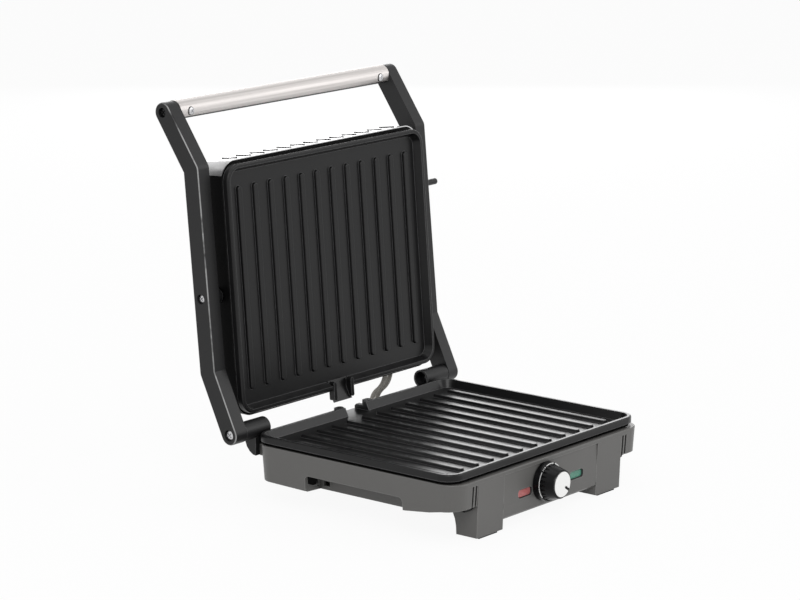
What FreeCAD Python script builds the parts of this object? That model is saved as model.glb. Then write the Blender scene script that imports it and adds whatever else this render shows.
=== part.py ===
import FreeCAD, Part
import os
import math
import Sketcher
from FreeCAD import Placement, Rotation, Vector

doc = FreeCAD.newDocument("ContactGrill")
sheet = doc.addObject("Spreadsheet::Sheet", "dims")


# Driving dimensions: each carries its number and its sheet expression
class Dim:
    def __init__(self, value, text):
        self.value = value
        self.text = text

    def __add__(self, other):
        other = as_dim(other)
        return Dim(self.value + other.value, "(%s + %s)" % (self.text, other.text))

    def __radd__(self, other):
        return as_dim(other) + self

    def __sub__(self, other):
        other = as_dim(other)
        return Dim(self.value - other.value, "(%s - %s)" % (self.text, other.text))

    def __rsub__(self, other):
        return as_dim(other) - self

    def __mul__(self, factor):
        factor = as_dim(factor)
        return Dim(self.value * factor.value, "(%s * %s)" % (self.text, factor.text))

    def __rmul__(self, factor):
        return as_dim(factor) * self

    def __truediv__(self, divisor):
        divisor = as_dim(divisor)
        return Dim(self.value / divisor.value, "(%s / %s)" % (self.text, divisor.text))

    def __neg__(self):
        return Dim(-self.value, "(0 - %s)" % self.text)


def as_dim(value):
    if isinstance(value, Dim):
        return value
    if value < 0:
        return Dim(float(value), "(0 - %r)" % abs(float(value)))
    return Dim(float(value), "%r" % float(value))


sheet_rows = [0]


def dim(alias, value):
    sheet_rows[0] += 1
    cell = "B%d" % sheet_rows[0]
    sheet.set("A%d" % sheet_rows[0], alias)
    sheet.set(cell, repr(float(value)))
    sheet.setAlias(cell, alias)
    return Dim(float(value), "dims.%s" % alias)


# Cooking plates
plate_w = dim("plate_w", 300)
plate_d = dim("plate_d", 246)
plate_r = dim("plate_r", 17)
rim_top = dim("rim_top", 69)
rim_h = dim("rim_h", 6.7)
rim_t = dim("rim_t", 4)
pan_depth = dim("pan_depth", 8.2)
pan_floor = dim("pan_floor", 4)
pan_inset = dim("pan_inset", 5)
pan_draft = dim("pan_draft", 25)
rib_pitch = dim("rib_pitch", 23.1)
rib_count = 12
rib_w = dim("rib_w", 7.4)
rib_h = dim("rib_h", 2.8)
rib_len = dim("rib_len", 202)
rib_draft = dim("rib_draft", 14)
post_x = dim("post_x", 110)
post_y = dim("post_y", 78)
post_r = dim("post_r", 5)
post_h = dim("post_h", 14.8)
sheet_t = dim("sheet_t", 0.8)
spout_w = dim("spout_w", 16)
spout_y = dim("spout_y", 134)

# Base casing
case_w = dim("case_w", 301)
case_d = dim("case_d", 250.7)
case_y = dim("case_y", -2.85)
case_r = dim("case_r", 19)
case_top = dim("case_top", 59.4)
case_low = dim("case_low", 22)
case_draft = dim("case_draft", 4)
wall = dim("wall", 2.6)
flange_h = dim("flange_h", 4)
grip_front = dim("grip_front", -63)
grip_rear = dim("grip_rear", 58)
grip_top = dim("grip_top", 38)
leg_in = dim("leg_in", 75)
leg_out = dim("leg_out", 115)
leg_front = dim("leg_front", -128)
leg_rear = dim("leg_rear", -86.5)
pad_h = dim("pad_h", 2)
panel_front = dim("panel_front", -127)
panel_t = dim("panel_t", 3)
panel_low = dim("panel_low", 11)
tray_low = dim("tray_low", 20)
tray_t = dim("tray_t", 2.5)
tray_x = dim("tray_x", 125)
tray_front = dim("tray_front", -83.6)
tray_rear = dim("tray_rear", 116.4)
foot_x = dim("foot_x", 50)
foot_y = dim("foot_y", 101)
foot_r = dim("foot_r", 11)

# Hinge, arms and handle; the lid group lies in a frame at the hinge line
hinge_y = dim("hinge_y", 133.7)
hinge_z = dim("hinge_z", 70.1)
open_angle = dim("open_angle", 94.4)
barrel_in = dim("barrel_in", 123)
barrel_out = dim("barrel_out", 157.4)
barrel_r = dim("barrel_r", 9.5)
bracket_y = dim("bracket_y", 127.5)
pin_r = dim("pin_r", 4)
pin_gap = dim("pin_gap", 0.05)
arm_in = dim("arm_in", 158)
arm_t = dim("arm_t", 16)
arm_r = dim("arm_r", 9.8)
knee_a = dim("knee_a", 60)
knee_b = dim("knee_b", 23)
bend_a = dim("bend_a", 259)
bend_b = dim("bend_b", 26)
handle_a = dim("handle_a", 314)
handle_b = dim("handle_b", 58)
handle_r = dim("handle_r", 10.3)
skin_t = dim("skin_t", 1.4)
grip_screw_x = dim("grip_screw_x", 144)
float_a = dim("float_a", 133)
float_b = dim("float_b", 24.6)
tab_a = dim("tab_a", 198)
tab_b = dim("tab_b", 21.5)
tab_travel = dim("tab_travel", 12)

# Lid housing
lid_face = dim("lid_face", 0.4)
lid_mid = dim("lid_mid", 137.6)
lid_w = dim("lid_w", 301)
lid_d = dim("lid_d", 254)
lid_r = dim("lid_r", 20)
lid_low = dim("lid_low", 8.4)
lid_top = dim("lid_top", 48)
lid_edge_r = dim("lid_edge_r", 8)
lid_draft = dim("lid_draft", 4)
cover_t = dim("cover_t", 1)

# Lead between base and lid
lead_x = dim("lead_x", 90.2)
lead_z = dim("lead_z", 36)
lead_r = dim("lead_r", 2.5)
loop_r = dim("loop_r", 26)
bow_r = dim("bow_r", 13)

# Lamps and knob
lamp_x = dim("lamp_x", 41.5)
lamp_z = dim("lamp_z", 31)
knob_x = dim("knob_x", -10.5)
knob_z = dim("knob_z", 36)
skirt_r = dim("skirt_r", 19.4)
grip_r = dim("grip_r", 17.6)
face_r = dim("face_r", 13.3)
knob_h = dim("knob_h", 20.5)
shaft_r = dim("shaft_r", 3)

half = 0.5


# Helpers that draw bound sketches and features
def new_body(name):
    body = doc.addObject("PartDesign::Body", name)
    body.Label = name
    return body


def plane_of(body, role):
    return [item for item in body.Origin.OriginFeatures if item.Role == role][0]


def new_sketch(body, name, role="XY_Plane", offset=0):
    sketch = body.newObject("Sketcher::SketchObject", name)
    sketch.AttachmentSupport = (plane_of(body, role), [""])
    sketch.MapMode = "FlatFace"
    offset = as_dim(offset)
    sketch.AttachmentOffset = Placement(Vector(0, 0, offset.value), Rotation())
    sketch.setExpression("AttachmentOffset.Base.z", offset.text)
    return sketch


def bind(sketch, constraint, value):
    index = sketch.addConstraint(constraint)
    sketch.setExpression("Constraints[%d]" % index, value.text)


def fix_point(sketch, geo, pos, x, y):
    x = as_dim(x)
    y = as_dim(y)
    if x.value == 0:
        sketch.addConstraint(Sketcher.Constraint("PointOnObject", geo, pos, -2))
    else:
        bind(sketch, Sketcher.Constraint("DistanceX", -1, 1, geo, pos, x.value), x)
    if y.value == 0:
        sketch.addConstraint(Sketcher.Constraint("PointOnObject", geo, pos, -1))
    else:
        bind(sketch, Sketcher.Constraint("DistanceY", -1, 1, geo, pos, y.value), y)


def polygon(sketch, points):
    points = [(as_dim(x), as_dim(y)) for x, y in points]
    spots = [Vector(x.value, y.value, 0) for x, y in points]
    count = len(spots)
    lines = [sketch.addGeometry(Part.LineSegment(spots[i], spots[(i + 1) % count])) for i in range(count)]
    for i in range(count):
        sketch.addConstraint(Sketcher.Constraint("Coincident", lines[i], 2, lines[(i + 1) % count], 1))
    for i in range(count):
        fix_point(sketch, lines[i], 1, points[i][0], points[i][1])


def rectangle(sketch, x0, y0, x1, y1):
    polygon(sketch, [(x0, y0), (x1, y0), (x1, y1), (x0, y1)])


def circle(sketch, x, y, radius):
    x = as_dim(x)
    y = as_dim(y)
    radius = as_dim(radius)
    geo = sketch.addGeometry(Part.Circle(Vector(x.value, y.value, 0), Vector(0, 0, 1), radius.value))
    fix_point(sketch, geo, 3, x, y)
    bind(sketch, Sketcher.Constraint("Radius", geo, radius.value), radius)


def arc_chain(sketch, arcs):
    # arcs is a list of centre x, centre y, radius, start angle and end angle in degrees, anticlockwise
    made = []
    for x, y, radius, start, end in arcs:
        ring = Part.Circle(Vector(x.value, y.value, 0), Vector(0, 0, 1), radius.value)
        made.append(sketch.addGeometry(Part.ArcOfCircle(ring, math.radians(start), math.radians(end))))
    for i, geo in enumerate(made):
        after = made[(i + 1) % len(made)]
        line = sketch.addGeometry(Part.LineSegment(sketch.getPoint(geo, 2), sketch.getPoint(after, 1)))
        sketch.addConstraint(Sketcher.Constraint("Tangent", geo, 2, line, 1))
        sketch.addConstraint(Sketcher.Constraint("Tangent", line, 2, after, 1))
    for geo, (x, y, radius, start, end) in zip(made, arcs):
        fix_point(sketch, geo, 3, x, y)
        bind(sketch, Sketcher.Constraint("Radius", geo, radius.value), radius)


def rounded(sketch, x, y, width, depth, radius):
    x = as_dim(x)
    y = as_dim(y)
    radius = as_dim(radius)
    dx = as_dim(width) * half - radius
    dy = as_dim(depth) * half - radius
    arc_chain(sketch, [(x + dx, y + dy, radius, 0, 90), (x - dx, y + dy, radius, 90, 180),
                       (x - dx, y - dy, radius, 180, 270), (x + dx, y - dy, radius, 270, 360)])


def capsule(sketch, x0, y0, x1, y1, radius):
    ends = [as_dim(item) for item in (x0, y0, x1, y1)]
    radius = as_dim(radius)
    turn = math.degrees(math.atan2(ends[3].value - ends[1].value, ends[2].value - ends[0].value))
    arc_chain(sketch, [(ends[2], ends[3], radius, turn - 90, turn + 90),
                       (ends[0], ends[1], radius, turn + 90, turn + 270)])


def feature(body, kind, name, sketch, length, back=False, draft=None, midplane=False, through=False):
    item = body.newObject("PartDesign::" + kind, name)
    item.Profile = sketch
    length = as_dim(length)
    item.Length = length.value
    item.setExpression("Length", length.text)
    item.Reversed = back
    if draft is not None:
        draft = as_dim(draft)
        item.TaperAngle = draft.value
        item.setExpression("TaperAngle", draft.text)
    if midplane:
        item.Midplane = True
    if through:
        item.Type = "ThroughAll"
    sketch.Visibility = False
    return item


def pad(body, name, sketch, length, back=False, draft=None, midplane=False):
    return feature(body, "Pad", name, sketch, length, back, draft, midplane)


def pocket(body, name, sketch, length, back=False, draft=None, midplane=False, through=False):
    before = solid_volume(body)
    item = feature(body, "Pocket", name, sketch, length, back, draft, midplane, through)
    after = solid_volume(body)
    if after >= before - 1e-6:
        raise RuntimeError("%s removes nothing" % name)
    return item


def solid_volume(body):
    doc.recompute()
    return body.Shape.Volume


def round_edges(body, name, keep, radius):
    # rounds each edge of the body's last solid that the test picks by its box
    doc.recompute()
    tip = body.Tip
    edges = ["Edge%d" % (i + 1) for i, edge in enumerate(tip.Shape.Edges) if keep(edge.BoundBox)]
    item = body.newObject("PartDesign::Fillet", name)
    item.Base = (tip, edges)
    radius = as_dim(radius)
    item.Radius = radius.value
    item.setExpression("Radius", radius.text)
    doc.recompute()
    return item


def mirror_x(body, name, features):
    item = body.newObject("PartDesign::Mirrored", name)
    item.Originals = features
    item.MirrorPlane = (plane_of(body, "YZ_Plane"), [""])
    body.Tip = item
    doc.recompute()
    return item


def row_of(body, name, features, role, pitch, count, back=False):
    # the row's spacing follows the sheet through its whole length
    item = body.newObject("PartDesign::LinearPattern", name)
    item.Originals = features
    item.Direction = ([axis for axis in body.Origin.OriginFeatures if axis.Role == role][0], [""])
    span = pitch * (count - 1)
    item.Length = span.value
    item.setExpression("Length", span.text)
    item.Occurrences = count
    item.Reversed = back
    body.Tip = item
    doc.recompute()
    return item


def set_place(item, x, y, z):
    item.Placement = Placement(Vector(as_dim(x).value, as_dim(y).value, as_dim(z).value), Rotation())
    for letter, value in (("x", x), ("y", y), ("z", z)):
        item.setExpression("Placement.Base." + letter, as_dim(value).text)
    return item


def in_lid(item):
    # stands the closed lid's frame up at the hinge line
    turn = Rotation(Vector(-1, 0, 0), open_angle.value)
    item.Placement = Placement(Vector(0, hinge_y.value, hinge_z.value), turn)
    item.setExpression("Placement.Base.y", hinge_y.text)
    item.setExpression("Placement.Base.z", hinge_z.text)
    item.setExpression("Placement.Rotation.Angle", open_angle.text)
    return item


def box(name, x0, y0, z0, x1, y1, z1):
    item = doc.addObject("Part::Box", name)
    low = [as_dim(value) for value in (x0, y0, z0)]
    high = [as_dim(value) for value in (x1, y1, z1)]
    for prop, a, b in zip(("Length", "Width", "Height"), low, high):
        setattr(item, prop, (b - a).value)
        item.setExpression(prop, (b - a).text)
    return set_place(item, *low)


AXES = {"x": Rotation(Vector(0, 1, 0), 90), "-x": Rotation(Vector(0, 1, 0), -90),
        "y": Rotation(Vector(1, 0, 0), -90), "-y": Rotation(Vector(1, 0, 0), 90),
        "z": Rotation(), "-z": Rotation(Vector(1, 0, 0), 180)}


def cylinder(name, radius, length, x, y, z, axis="z"):
    item = doc.addObject("Part::Cylinder", name)
    radius = as_dim(radius)
    length = as_dim(length)
    item.Radius = radius.value
    item.setExpression("Radius", radius.text)
    item.Height = length.value
    item.setExpression("Height", length.text)
    set_place(item, x, y, z)
    item.Placement = Placement(item.Placement.Base, AXES[axis])
    return item


def join(name, items):
    item = doc.addObject("Part::MultiFuse", name)
    item.Shapes = items
    item.Label = name
    return item


def cut(name, base, tools):
    item = doc.addObject("Part::Cut", name)
    item.Base = base
    item.Tool = tools[0] if len(tools) == 1 else join(name + "_tools", tools)
    item.Label = name
    return item


def group(name, items):
    item = doc.addObject("Part::Compound", name)
    item.Links = items
    item.Label = name
    return item


def screw(name, x, y, z, axis, head_r, head_h, shank_r, shank_l, cross=True):
    # the head's outer face is at the point, and the shank runs along the axis from there
    head = cylinder(name + "_head", head_r, head_h, x, y, z, axis)
    shank = cylinder(name + "_shank", shank_r, head_h + as_dim(shank_l), x, y, z, axis)
    whole = join(name + "_whole", [head, shank])
    if not cross:
        return whole
    arm = head_r * 0.62
    slots = []
    for tag, a, b in (("a", arm, 0.5), ("b", 0.5, arm)):
        slot = doc.addObject("Part::Box", name + "_slot_" + tag)
        slot.Length = 2 * a
        slot.Width = 2 * b
        slot.Height = 1.6
        turn = AXES[axis]
        corner = turn.multVec(Vector(-a, -b, -0.2))
        spot = Vector(as_dim(x).value, as_dim(y).value, as_dim(z).value)
        slot.Placement = Placement(spot + corner, turn)
        slots.append(slot)
    return cut(name, whole, slots)


nodes = []


def node(item):
    nodes.append(item)
    return item


# Cooking plates: a rimmed pan with long ribs, cast posts and a rear spout
def grill_plate(name, centre_y, face, up):
    body = new_body(name)
    side = 1 if up else -1

    def level(depth):
        return face - as_dim(depth) * side

    outline = new_sketch(body, name + "_rim_sketch", offset=level(0))
    rounded(outline, 0, centre_y, plate_w, plate_d, plate_r)
    pad(body, name + "_rim", outline, rim_h, back=up)
    under = new_sketch(body, name + "_pan_sketch", offset=level(rim_h))
    rounded(under, 0, centre_y, plate_w - pan_inset * 2, plate_d - pan_inset * 2, plate_r - pan_inset)
    pad(body, name + "_pan", under, pan_depth + pan_floor - rim_h, back=up)
    round_edges(body, name + "_rim_round",
                lambda b: b.ZLength < 0.01 and abs(b.ZMin - face.value) < 0.01, 1.6)
    hollow = new_sketch(body, name + "_hollow_sketch", offset=level(0))
    rounded(hollow, 0, centre_y, plate_w - rim_t * 2, plate_d - rim_t * 2, plate_r - rim_t)
    pocket(body, name + "_hollow", hollow, pan_depth, back=not up, draft=-pan_draft)
    rib = new_sketch(body, name + "_rib_sketch", offset=level(pan_depth))
    first = -rib_pitch * (half * (rib_count - 1))
    reach = rib_len * half - rib_w * half
    capsule(rib, first, centre_y - reach, first, centre_y + reach, rib_w * half)
    rib_pad = pad(body, name + "_rib", rib, rib_h, back=not up, draft=-rib_draft)
    row_of(body, name + "_ribs", [rib_pad], "X_Axis", rib_pitch, rib_count)
    top = level(pan_depth - rib_h).value
    reach_x = (rib_pitch * (half * rib_count)).value
    round_edges(body, name + "_rib_round",
                lambda b: b.ZLength < 0.01 and abs(b.ZMin - top) < 0.01 and abs(b.Center.x) < reach_x, 0.9)
    post = new_sketch(body, name + "_post_sketch", offset=level(pan_depth + pan_floor))
    for x in (post_x, -post_x):
        for y in (post_y, -post_y):
            circle(post, x, centre_y + y, post_r)
    pad(body, name + "_posts", post, post_h, back=up)
    bores = new_sketch(body, name + "_bore_sketch", offset=level(pan_depth + pan_floor + post_h))
    for x in (post_x, -post_x):
        for y in (post_y, -post_y):
            circle(bores, x, centre_y + y, 1.7)
    pocket(body, name + "_bores", bores, 9, back=up)
    return body, level


lower, level = grill_plate("lower_grill_plate", as_dim(0), rim_top, True)
gap = new_sketch(lower, "lower_gap_sketch", offset=level(0))
rectangle(gap, -spout_w, plate_d * half - 12, spout_w, plate_d * half + 2)
pocket(lower, "lower_gap", gap, pan_depth)
trough = new_sketch(lower, "lower_trough_sketch", "YZ_Plane", -spout_w - 5)
polygon(trough, [(plate_d * half - 9, level(pan_depth + pan_floor)),
                 (spout_y - 3, level(pan_depth + pan_floor)), (spout_y, level(pan_depth + 1)),
                 (spout_y, level(6)), (spout_y - 2, level(4)), (plate_d * half - 3, level(4))])
pad(lower, "lower_trough", trough, (spout_w + 5) * 2)
ear = new_sketch(lower, "lower_ear_sketch", offset=level(8))
for side in (-1, 1):
    rounded(ear, (spout_w + 6) * side, plate_d * half - 0.3, 10.6, 7, 3)
pad(lower, "lower_ears", ear, 9)
slot = new_sketch(lower, "lower_slot_sketch", offset=level(-2))
rectangle(slot, -spout_w, plate_d * half - 12, spout_w, spout_y + 2)
pocket(lower, "lower_slot", slot, pan_depth + 2.5)
node(lower)

upper, level = grill_plate("upper_grill_plate", -lid_mid, lid_face, False)
gap = new_sketch(upper, "upper_gap_sketch", offset=level(0))
rectangle(gap, -spout_w, plate_d * half - lid_mid - 12, spout_w, plate_d * half - lid_mid + 2)
pocket(upper, "upper_gap", gap, pan_depth, back=True)
lip = new_sketch(upper, "upper_lip_sketch", "YZ_Plane", -13.5)
polygon(lip, [(-23, level(pan_depth)), (-14, level(5.8)), (-5, level(2.4)), (-1.5, level(0.8)),
              (-1, level(2.4)), (-5.6, level(4.6)), (-12.7, level(7.4)), (-17, level(pan_depth + 0.9)),
              (-23, level(pan_depth + 1.2))])
pad(upper, "upper_lip", lip, 27)
ear = new_sketch(upper, "upper_ear_sketch", offset=level(-1))
for side in (-1, 1):
    capsule(ear, 13.2 * side, plate_d * half - lid_mid - 6, 13.2 * side, plate_d * half - lid_mid + 8.9, 2.2)
pad(upper, "upper_ears", ear, pan_depth - 1.4)
in_lid(node(upper))


# Sheathed heating elements under the plates, each with two cold pins
def heater(name, centre_y, height):
    body = new_body(name)
    tube = as_dim(3.3)
    path = new_sketch(body, name + "_path", offset=height)
    reach_x = 92
    reach_y = 66
    bend = 24
    spots = [(-16, reach_y), (-reach_x + bend, reach_y), (-reach_x, reach_y - bend),
             (-reach_x, -reach_y + bend), (-reach_x + bend, -reach_y), (reach_x - bend, -reach_y),
             (reach_x, -reach_y + bend), (reach_x, reach_y - bend), (reach_x - bend, reach_y), (16, reach_y)]
    spots = [Vector(x, y + centre_y.value, 0) for x, y in spots]
    pieces = []
    for i in range(0, 9, 2):
        pieces.append(path.addGeometry(Part.LineSegment(spots[i], spots[i + 1])))
        if i < 8:
            start, end = spots[i + 1], spots[i + 2]
            corner = [Vector(-reach_x, reach_y, 0), Vector(-reach_x, -reach_y, 0),
                      Vector(reach_x, -reach_y, 0), Vector(reach_x, reach_y, 0)][i // 2]
            corner.y += centre_y.value
            centre = start + end - corner
            middle = centre + (corner - centre).normalize() * bend
            pieces.append(path.addGeometry(Part.Arc(start, middle, end)))
    for a, b in zip(pieces, pieces[1:]):
        pos = [(p, q) for p in (1, 2) for q in (1, 2)
               if (path.getPoint(a, p) - path.getPoint(b, q)).Length < 1e-6][0]
        path.addConstraint(Sketcher.Constraint("Coincident", a, pos[0], b, pos[1]))
    ring = new_sketch(body, name + "_ring", "YZ_Plane", -16)
    circle(ring, centre_y + reach_y, height, tube)
    pipe = body.newObject("PartDesign::AdditivePipe", name + "_tube")
    pipe.Profile = ring
    pipe.Spine = (path, ["Edge%d" % (i + 1) for i in range(len(pieces))])
    path.Visibility = False
    ring.Visibility = False
    pins = new_sketch(body, name + "_pin_sketch", "YZ_Plane", -16)
    circle(pins, centre_y + reach_y, height, 1.4)
    left_pin = pad(body, name + "_pin", pins, 9)
    mirror_x(body, name + "_pins", [left_pin])
    return body


node(heater("lower_heater", as_dim(0), rim_top - pan_depth - pan_floor - 3.3))
in_lid(node(heater("upper_heater", -lid_mid, lid_face + pan_depth + pan_floor + 3.3)))


# Polished sheets that throw the heat back to the plates
def reflector(name, centre_y, low):
    body = new_body(name)
    plan = new_sketch(body, name + "_sketch", offset=low)
    rounded(plan, 0, centre_y, 256, 170, 14)
    for x in (post_x, -post_x):
        for y in (post_y, -post_y):
            circle(plan, x, centre_y + y, 2)
    pad(body, name + "_sheet", plan, sheet_t)
    return body


lower_sheet_z = rim_top - pan_depth - pan_floor - post_h - sheet_t
upper_sheet_z = lid_face + pan_depth + pan_floor + post_h
node(reflector("lower_reflector", as_dim(0), lower_sheet_z))
in_lid(node(reflector("upper_reflector", -lid_mid, upper_sheet_z)))

# Base housing: drafted casing, leg blocks, hinge pads and screw posts in one moulding
housing = new_body("base_housing")
shell = new_sketch(housing, "shell_sketch", offset=case_top)
rounded(shell, 0, case_y, case_w, case_d, case_r)
pad(housing, "shell", shell, case_top - case_low, back=True, draft=-case_draft)
round_edges(housing, "shell_round", lambda b: b.ZLength < 0.01 and abs(b.ZMin - case_top.value) < 0.01, 0.9)
inside = new_sketch(housing, "inside_sketch", offset=case_top - flange_h)
rounded(inside, 0, case_y, case_w - wall * 2 - 0.6, case_d - wall * 2 - 0.6, case_r - wall)
pocket(housing, "inside", inside, case_top, draft=-case_draft)
mouth = new_sketch(housing, "mouth_sketch", offset=case_top)
rounded(mouth, 0, 0, plate_w - 6, plate_d - 5, plate_r - 3)
pocket(housing, "mouth", mouth, flange_h + 1)
sill = new_sketch(housing, "sill_sketch", "YZ_Plane")
polygon(sill, [(-150, 0), (150, 0), (150, 24), (57, 22.2), (0, 23.2), (-66, 26), (-95, 29.5), (-110, 32.5),
               (-150, 36)])
pocket(housing, "sill", sill, case_w + 20, midplane=True)
grip = new_sketch(housing, "grip_sketch", "YZ_Plane")
polygon(grip, [(grip_front - 1, 0), (grip_rear + 1.5, 0), (grip_rear, grip_top - 2.5),
               (grip_rear - 2.5, grip_top), (grip_front + 4, grip_top), (grip_front + 1.2, grip_top - 1.2),
               (grip_front, grip_top - 4)])
pocket(housing, "grip", grip, case_w + 20, midplane=True)
leg = new_sketch(housing, "leg_sketch", "YZ_Plane", leg_in)
polygon(leg, [(leg_front, case_top - flange_h), (leg_front + 2.2, pad_h), (-101.4, pad_h), (-101, 10),
              (-99.6, 17), (-96.6, 23.6), (-92, 29), (leg_rear, 33), (leg_rear, case_top - flange_h)])
leg_pad = pad(housing, "leg", leg, leg_out - leg_in)
well = new_sketch(housing, "leg_well_sketch", "YZ_Plane", leg_in + wall)
polygon(well, [(leg_front + wall, case_top - flange_h), (leg_front + wall + 2.2, pad_h + wall),
               (-104, pad_h + wall), (-103.6, 11), (-102, 18), (-98.8, 25.4), (-94, 31),
               (leg_rear - wall, 35), (leg_rear - wall, 45), (leg_rear + 1, 45),
               (leg_rear + 1, case_top - flange_h)])
leg_well = pocket(housing, "leg_well", well, leg_out - leg_in - wall * 2, back=True)
mirror_x(housing, "legs", [leg_pad, leg_well])
bay = new_sketch(housing, "panel_bay_sketch", "XZ_Plane", 110)
rectangle(bay, -leg_in, 5, leg_in, case_top - flange_h)
pocket(housing, "panel_bay", bay, 20, back=True)
hinge_pad = new_sketch(housing, "hinge_pad_sketch", offset=44)
rectangle(hinge_pad, barrel_in - 17, 114, barrel_in + 13, bracket_y)
hinge_block = pad(housing, "hinge_pad", hinge_pad, case_top - flange_h - 44)
pilot = new_sketch(housing, "hinge_pilot_sketch", "XZ_Plane", -bracket_y)
circle(pilot, barrel_in - 11, 50, 1.5)
circle(pilot, barrel_in - 1, 50, 1.5)
pilot_cut = pocket(housing, "hinge_pilot", pilot, 9, back=True)
stop = new_sketch(housing, "screw_post_sketch", offset=grip_top + tray_t)
rectangle(stop, 136, 70, 148, 80)
rectangle(stop, 136, -82, 148, -72)
stop_pad = pad(housing, "screw_post", stop, 10)
hole = new_sketch(housing, "screw_post_hole_sketch", offset=grip_top + tray_t)
circle(hole, 141, 75, 1.4)
circle(hole, 141, -77, 1.4)
hole_cut = pocket(housing, "screw_post_hole", hole, 8, back=True)
mirror_x(housing, "rear_blocks", [hinge_block, pilot_cut, stop_pad, hole_cut])
vent = new_sketch(housing, "front_vent_sketch", "XZ_Plane", 112)
for x in (-118, -122.7, 118, 122.7):
    capsule(vent, x, 30, x, 53.4, 1.3)
pocket(housing, "front_vents", vent, 20, back=True)
notch = new_sketch(housing, "spout_notch_sketch", "XZ_Plane", -spout_y)
rectangle(notch, -spout_w - 5.5, rim_top - pan_depth - pan_floor - 0.5, spout_w + 5.5, case_top + 2)
pocket(housing, "spout_notch", notch, 22, back=True)
back_holes = new_sketch(housing, "back_hole_sketch", "XZ_Plane", -126)
circle(back_holes, -80, 41, 7)
capsule(back_holes, lead_x - 4.2, lead_z, lead_x + 4.2, lead_z, 5)
pocket(housing, "back_holes", back_holes, 16, back=True)
node(housing)

# Control panel: front plate, lamp windows and the shelf under the controls
panel = new_body("control_panel")
front = new_sketch(panel, "panel_sketch", "YZ_Plane", -leg_in)
polygon(front, [(panel_front, case_top - flange_h), (panel_front, 24), (panel_front + 1.2, panel_low + 2),
                (panel_front + 3, panel_low), (tray_front, panel_low), (tray_front, tray_low + tray_t),
                (tray_front - tray_t, tray_low + tray_t), (tray_front - tray_t, panel_low + tray_t),
                (panel_front + panel_t + 0.6, panel_low + tray_t),
                (panel_front + panel_t, case_top - flange_h)])
pad(panel, "panel_plate", front, leg_in * 2)
windows = new_sketch(panel, "window_sketch", "XZ_Plane", 120)
rounded(windows, -lamp_x, lamp_z, 22, 8.7, 3.4)
rounded(windows, lamp_x, lamp_z, 22, 8.7, 3.4)
circle(windows, knob_x, knob_z, 4.2)
pocket(panel, "windows", windows, 10, back=True)
seats = new_sketch(panel, "seat_sketch", "XZ_Plane", 122)
for side in (-1, 1):
    rectangle(seats, lamp_x * side - 14, lamp_z - 6.5, lamp_x * side + 14, lamp_z + 6.5)
pocket(panel, "seats", seats, 2.6, back=True)
node(panel)


# Lamp lenses and neon lamps
def lens(name, x):
    body = new_body(name)
    face = new_sketch(body, name + "_face_sketch", "XZ_Plane", -panel_front - 2)
    rounded(face, x, lamp_z, 21.7, 8.4, 3.3)
    pad(body, name + "_face", face, 0.4, back=True)
    flange = new_sketch(body, name + "_flange_sketch", "XZ_Plane", -panel_front - 2.4)
    rounded(flange, x, lamp_z, 26, 12, 2)
    pad(body, name + "_flange", flange, 2, back=True)
    return body


node(lens("lamp_lens_red", -lamp_x))
node(lens("lamp_lens_green", lamp_x))
node(group("neon_lamps", [cylinder("neon_left", 2.6, 16, -lamp_x - 8, panel_front + 7, lamp_z, "x"),
                          cylinder("neon_right", 2.6, 16, lamp_x - 8, panel_front + 7, lamp_z, "x")]))

# Thermostat with its threaded bush, nut and turning shaft
stat_body = box("stat_block", knob_x - 14, -117, knob_z - 12.5, knob_x + 14, -97, knob_z + 12.5)
stat_bush = cylinder("stat_bush", 4.2, 14, knob_x, panel_front - 2.6, knob_z, "y")
stat_plate = box("stat_plate", knob_x - 12, panel_front + 3.8, knob_z - 10, knob_x + 12, -117, knob_z + 10)
stat_bore = cylinder("stat_bore", shaft_r + pin_gap, 24, knob_x, panel_front - 4, knob_z, "y")
node(cut("thermostat", join("stat_whole", [stat_body, stat_plate, stat_bush]), [stat_bore]))
nut_ring = doc.addObject("Part::Prism", "nut_ring")
nut_ring.Polygon = 6
nut_ring.Circumradius = 7.5
nut_ring.Height = 2.2
set_place(nut_ring, knob_x, panel_front, knob_z)
nut_ring.Placement = Placement(nut_ring.Placement.Base, AXES["-y"])
node(cut("thermostat_nut", nut_ring, [cylinder("nut_bore", 4.2, 8, knob_x, panel_front - 5, knob_z, "y")]))
shaft_round = cylinder("shaft_round", shaft_r, 32, knob_x, panel_front - 14.2, knob_z, "y")
node(shaft_round)
shaft_round.Label = "thermostat_shaft"

# Control knob: skirt, fluted grip and bright face
knob = new_body("control_knob")
skirt = new_sketch(knob, "skirt_sketch", offset=0.8)
circle(skirt, 0, 0, skirt_r)
pad(knob, "skirt", skirt, 6, draft=-6)
grip_disc = new_sketch(knob, "knob_grip_sketch", offset=6.8)
circle(grip_disc, 0, 0, grip_r)
pad(knob, "knob_grip", grip_disc, knob_h - 6.8, draft=-14)
round_edges(knob, "knob_edge", lambda b: b.ZLength < 0.01 and abs(b.ZMin - knob_h.value) < 0.01, 0.8)
cavity = new_sketch(knob, "knob_cavity_sketch", offset=0.8)
circle(cavity, 0, 0, skirt_r - 4)
pocket(knob, "knob_cavity", cavity, 4, back=True)
stem = new_sketch(knob, "knob_stem_sketch", offset=4)
circle(stem, 0, 0, shaft_r)
pocket(knob, "knob_stem", stem, 10.2, back=True)
flute = new_sketch(knob, "flute_sketch", offset=7.6)
circle(flute, 0, grip_r - 0.2, 1.2)
flute_cut = pocket(knob, "flute", flute, knob_h, back=True)
flutes = knob.newObject("PartDesign::PolarPattern", "flutes")
flutes.Originals = [flute_cut]
flutes.Axis = ([axis for axis in knob.Origin.OriginFeatures if axis.Role == "Z_Axis"][0], [""])
flutes.Angle = 360
flutes.Occurrences = 24
knob.Tip = flutes
doc.recompute()


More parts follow.
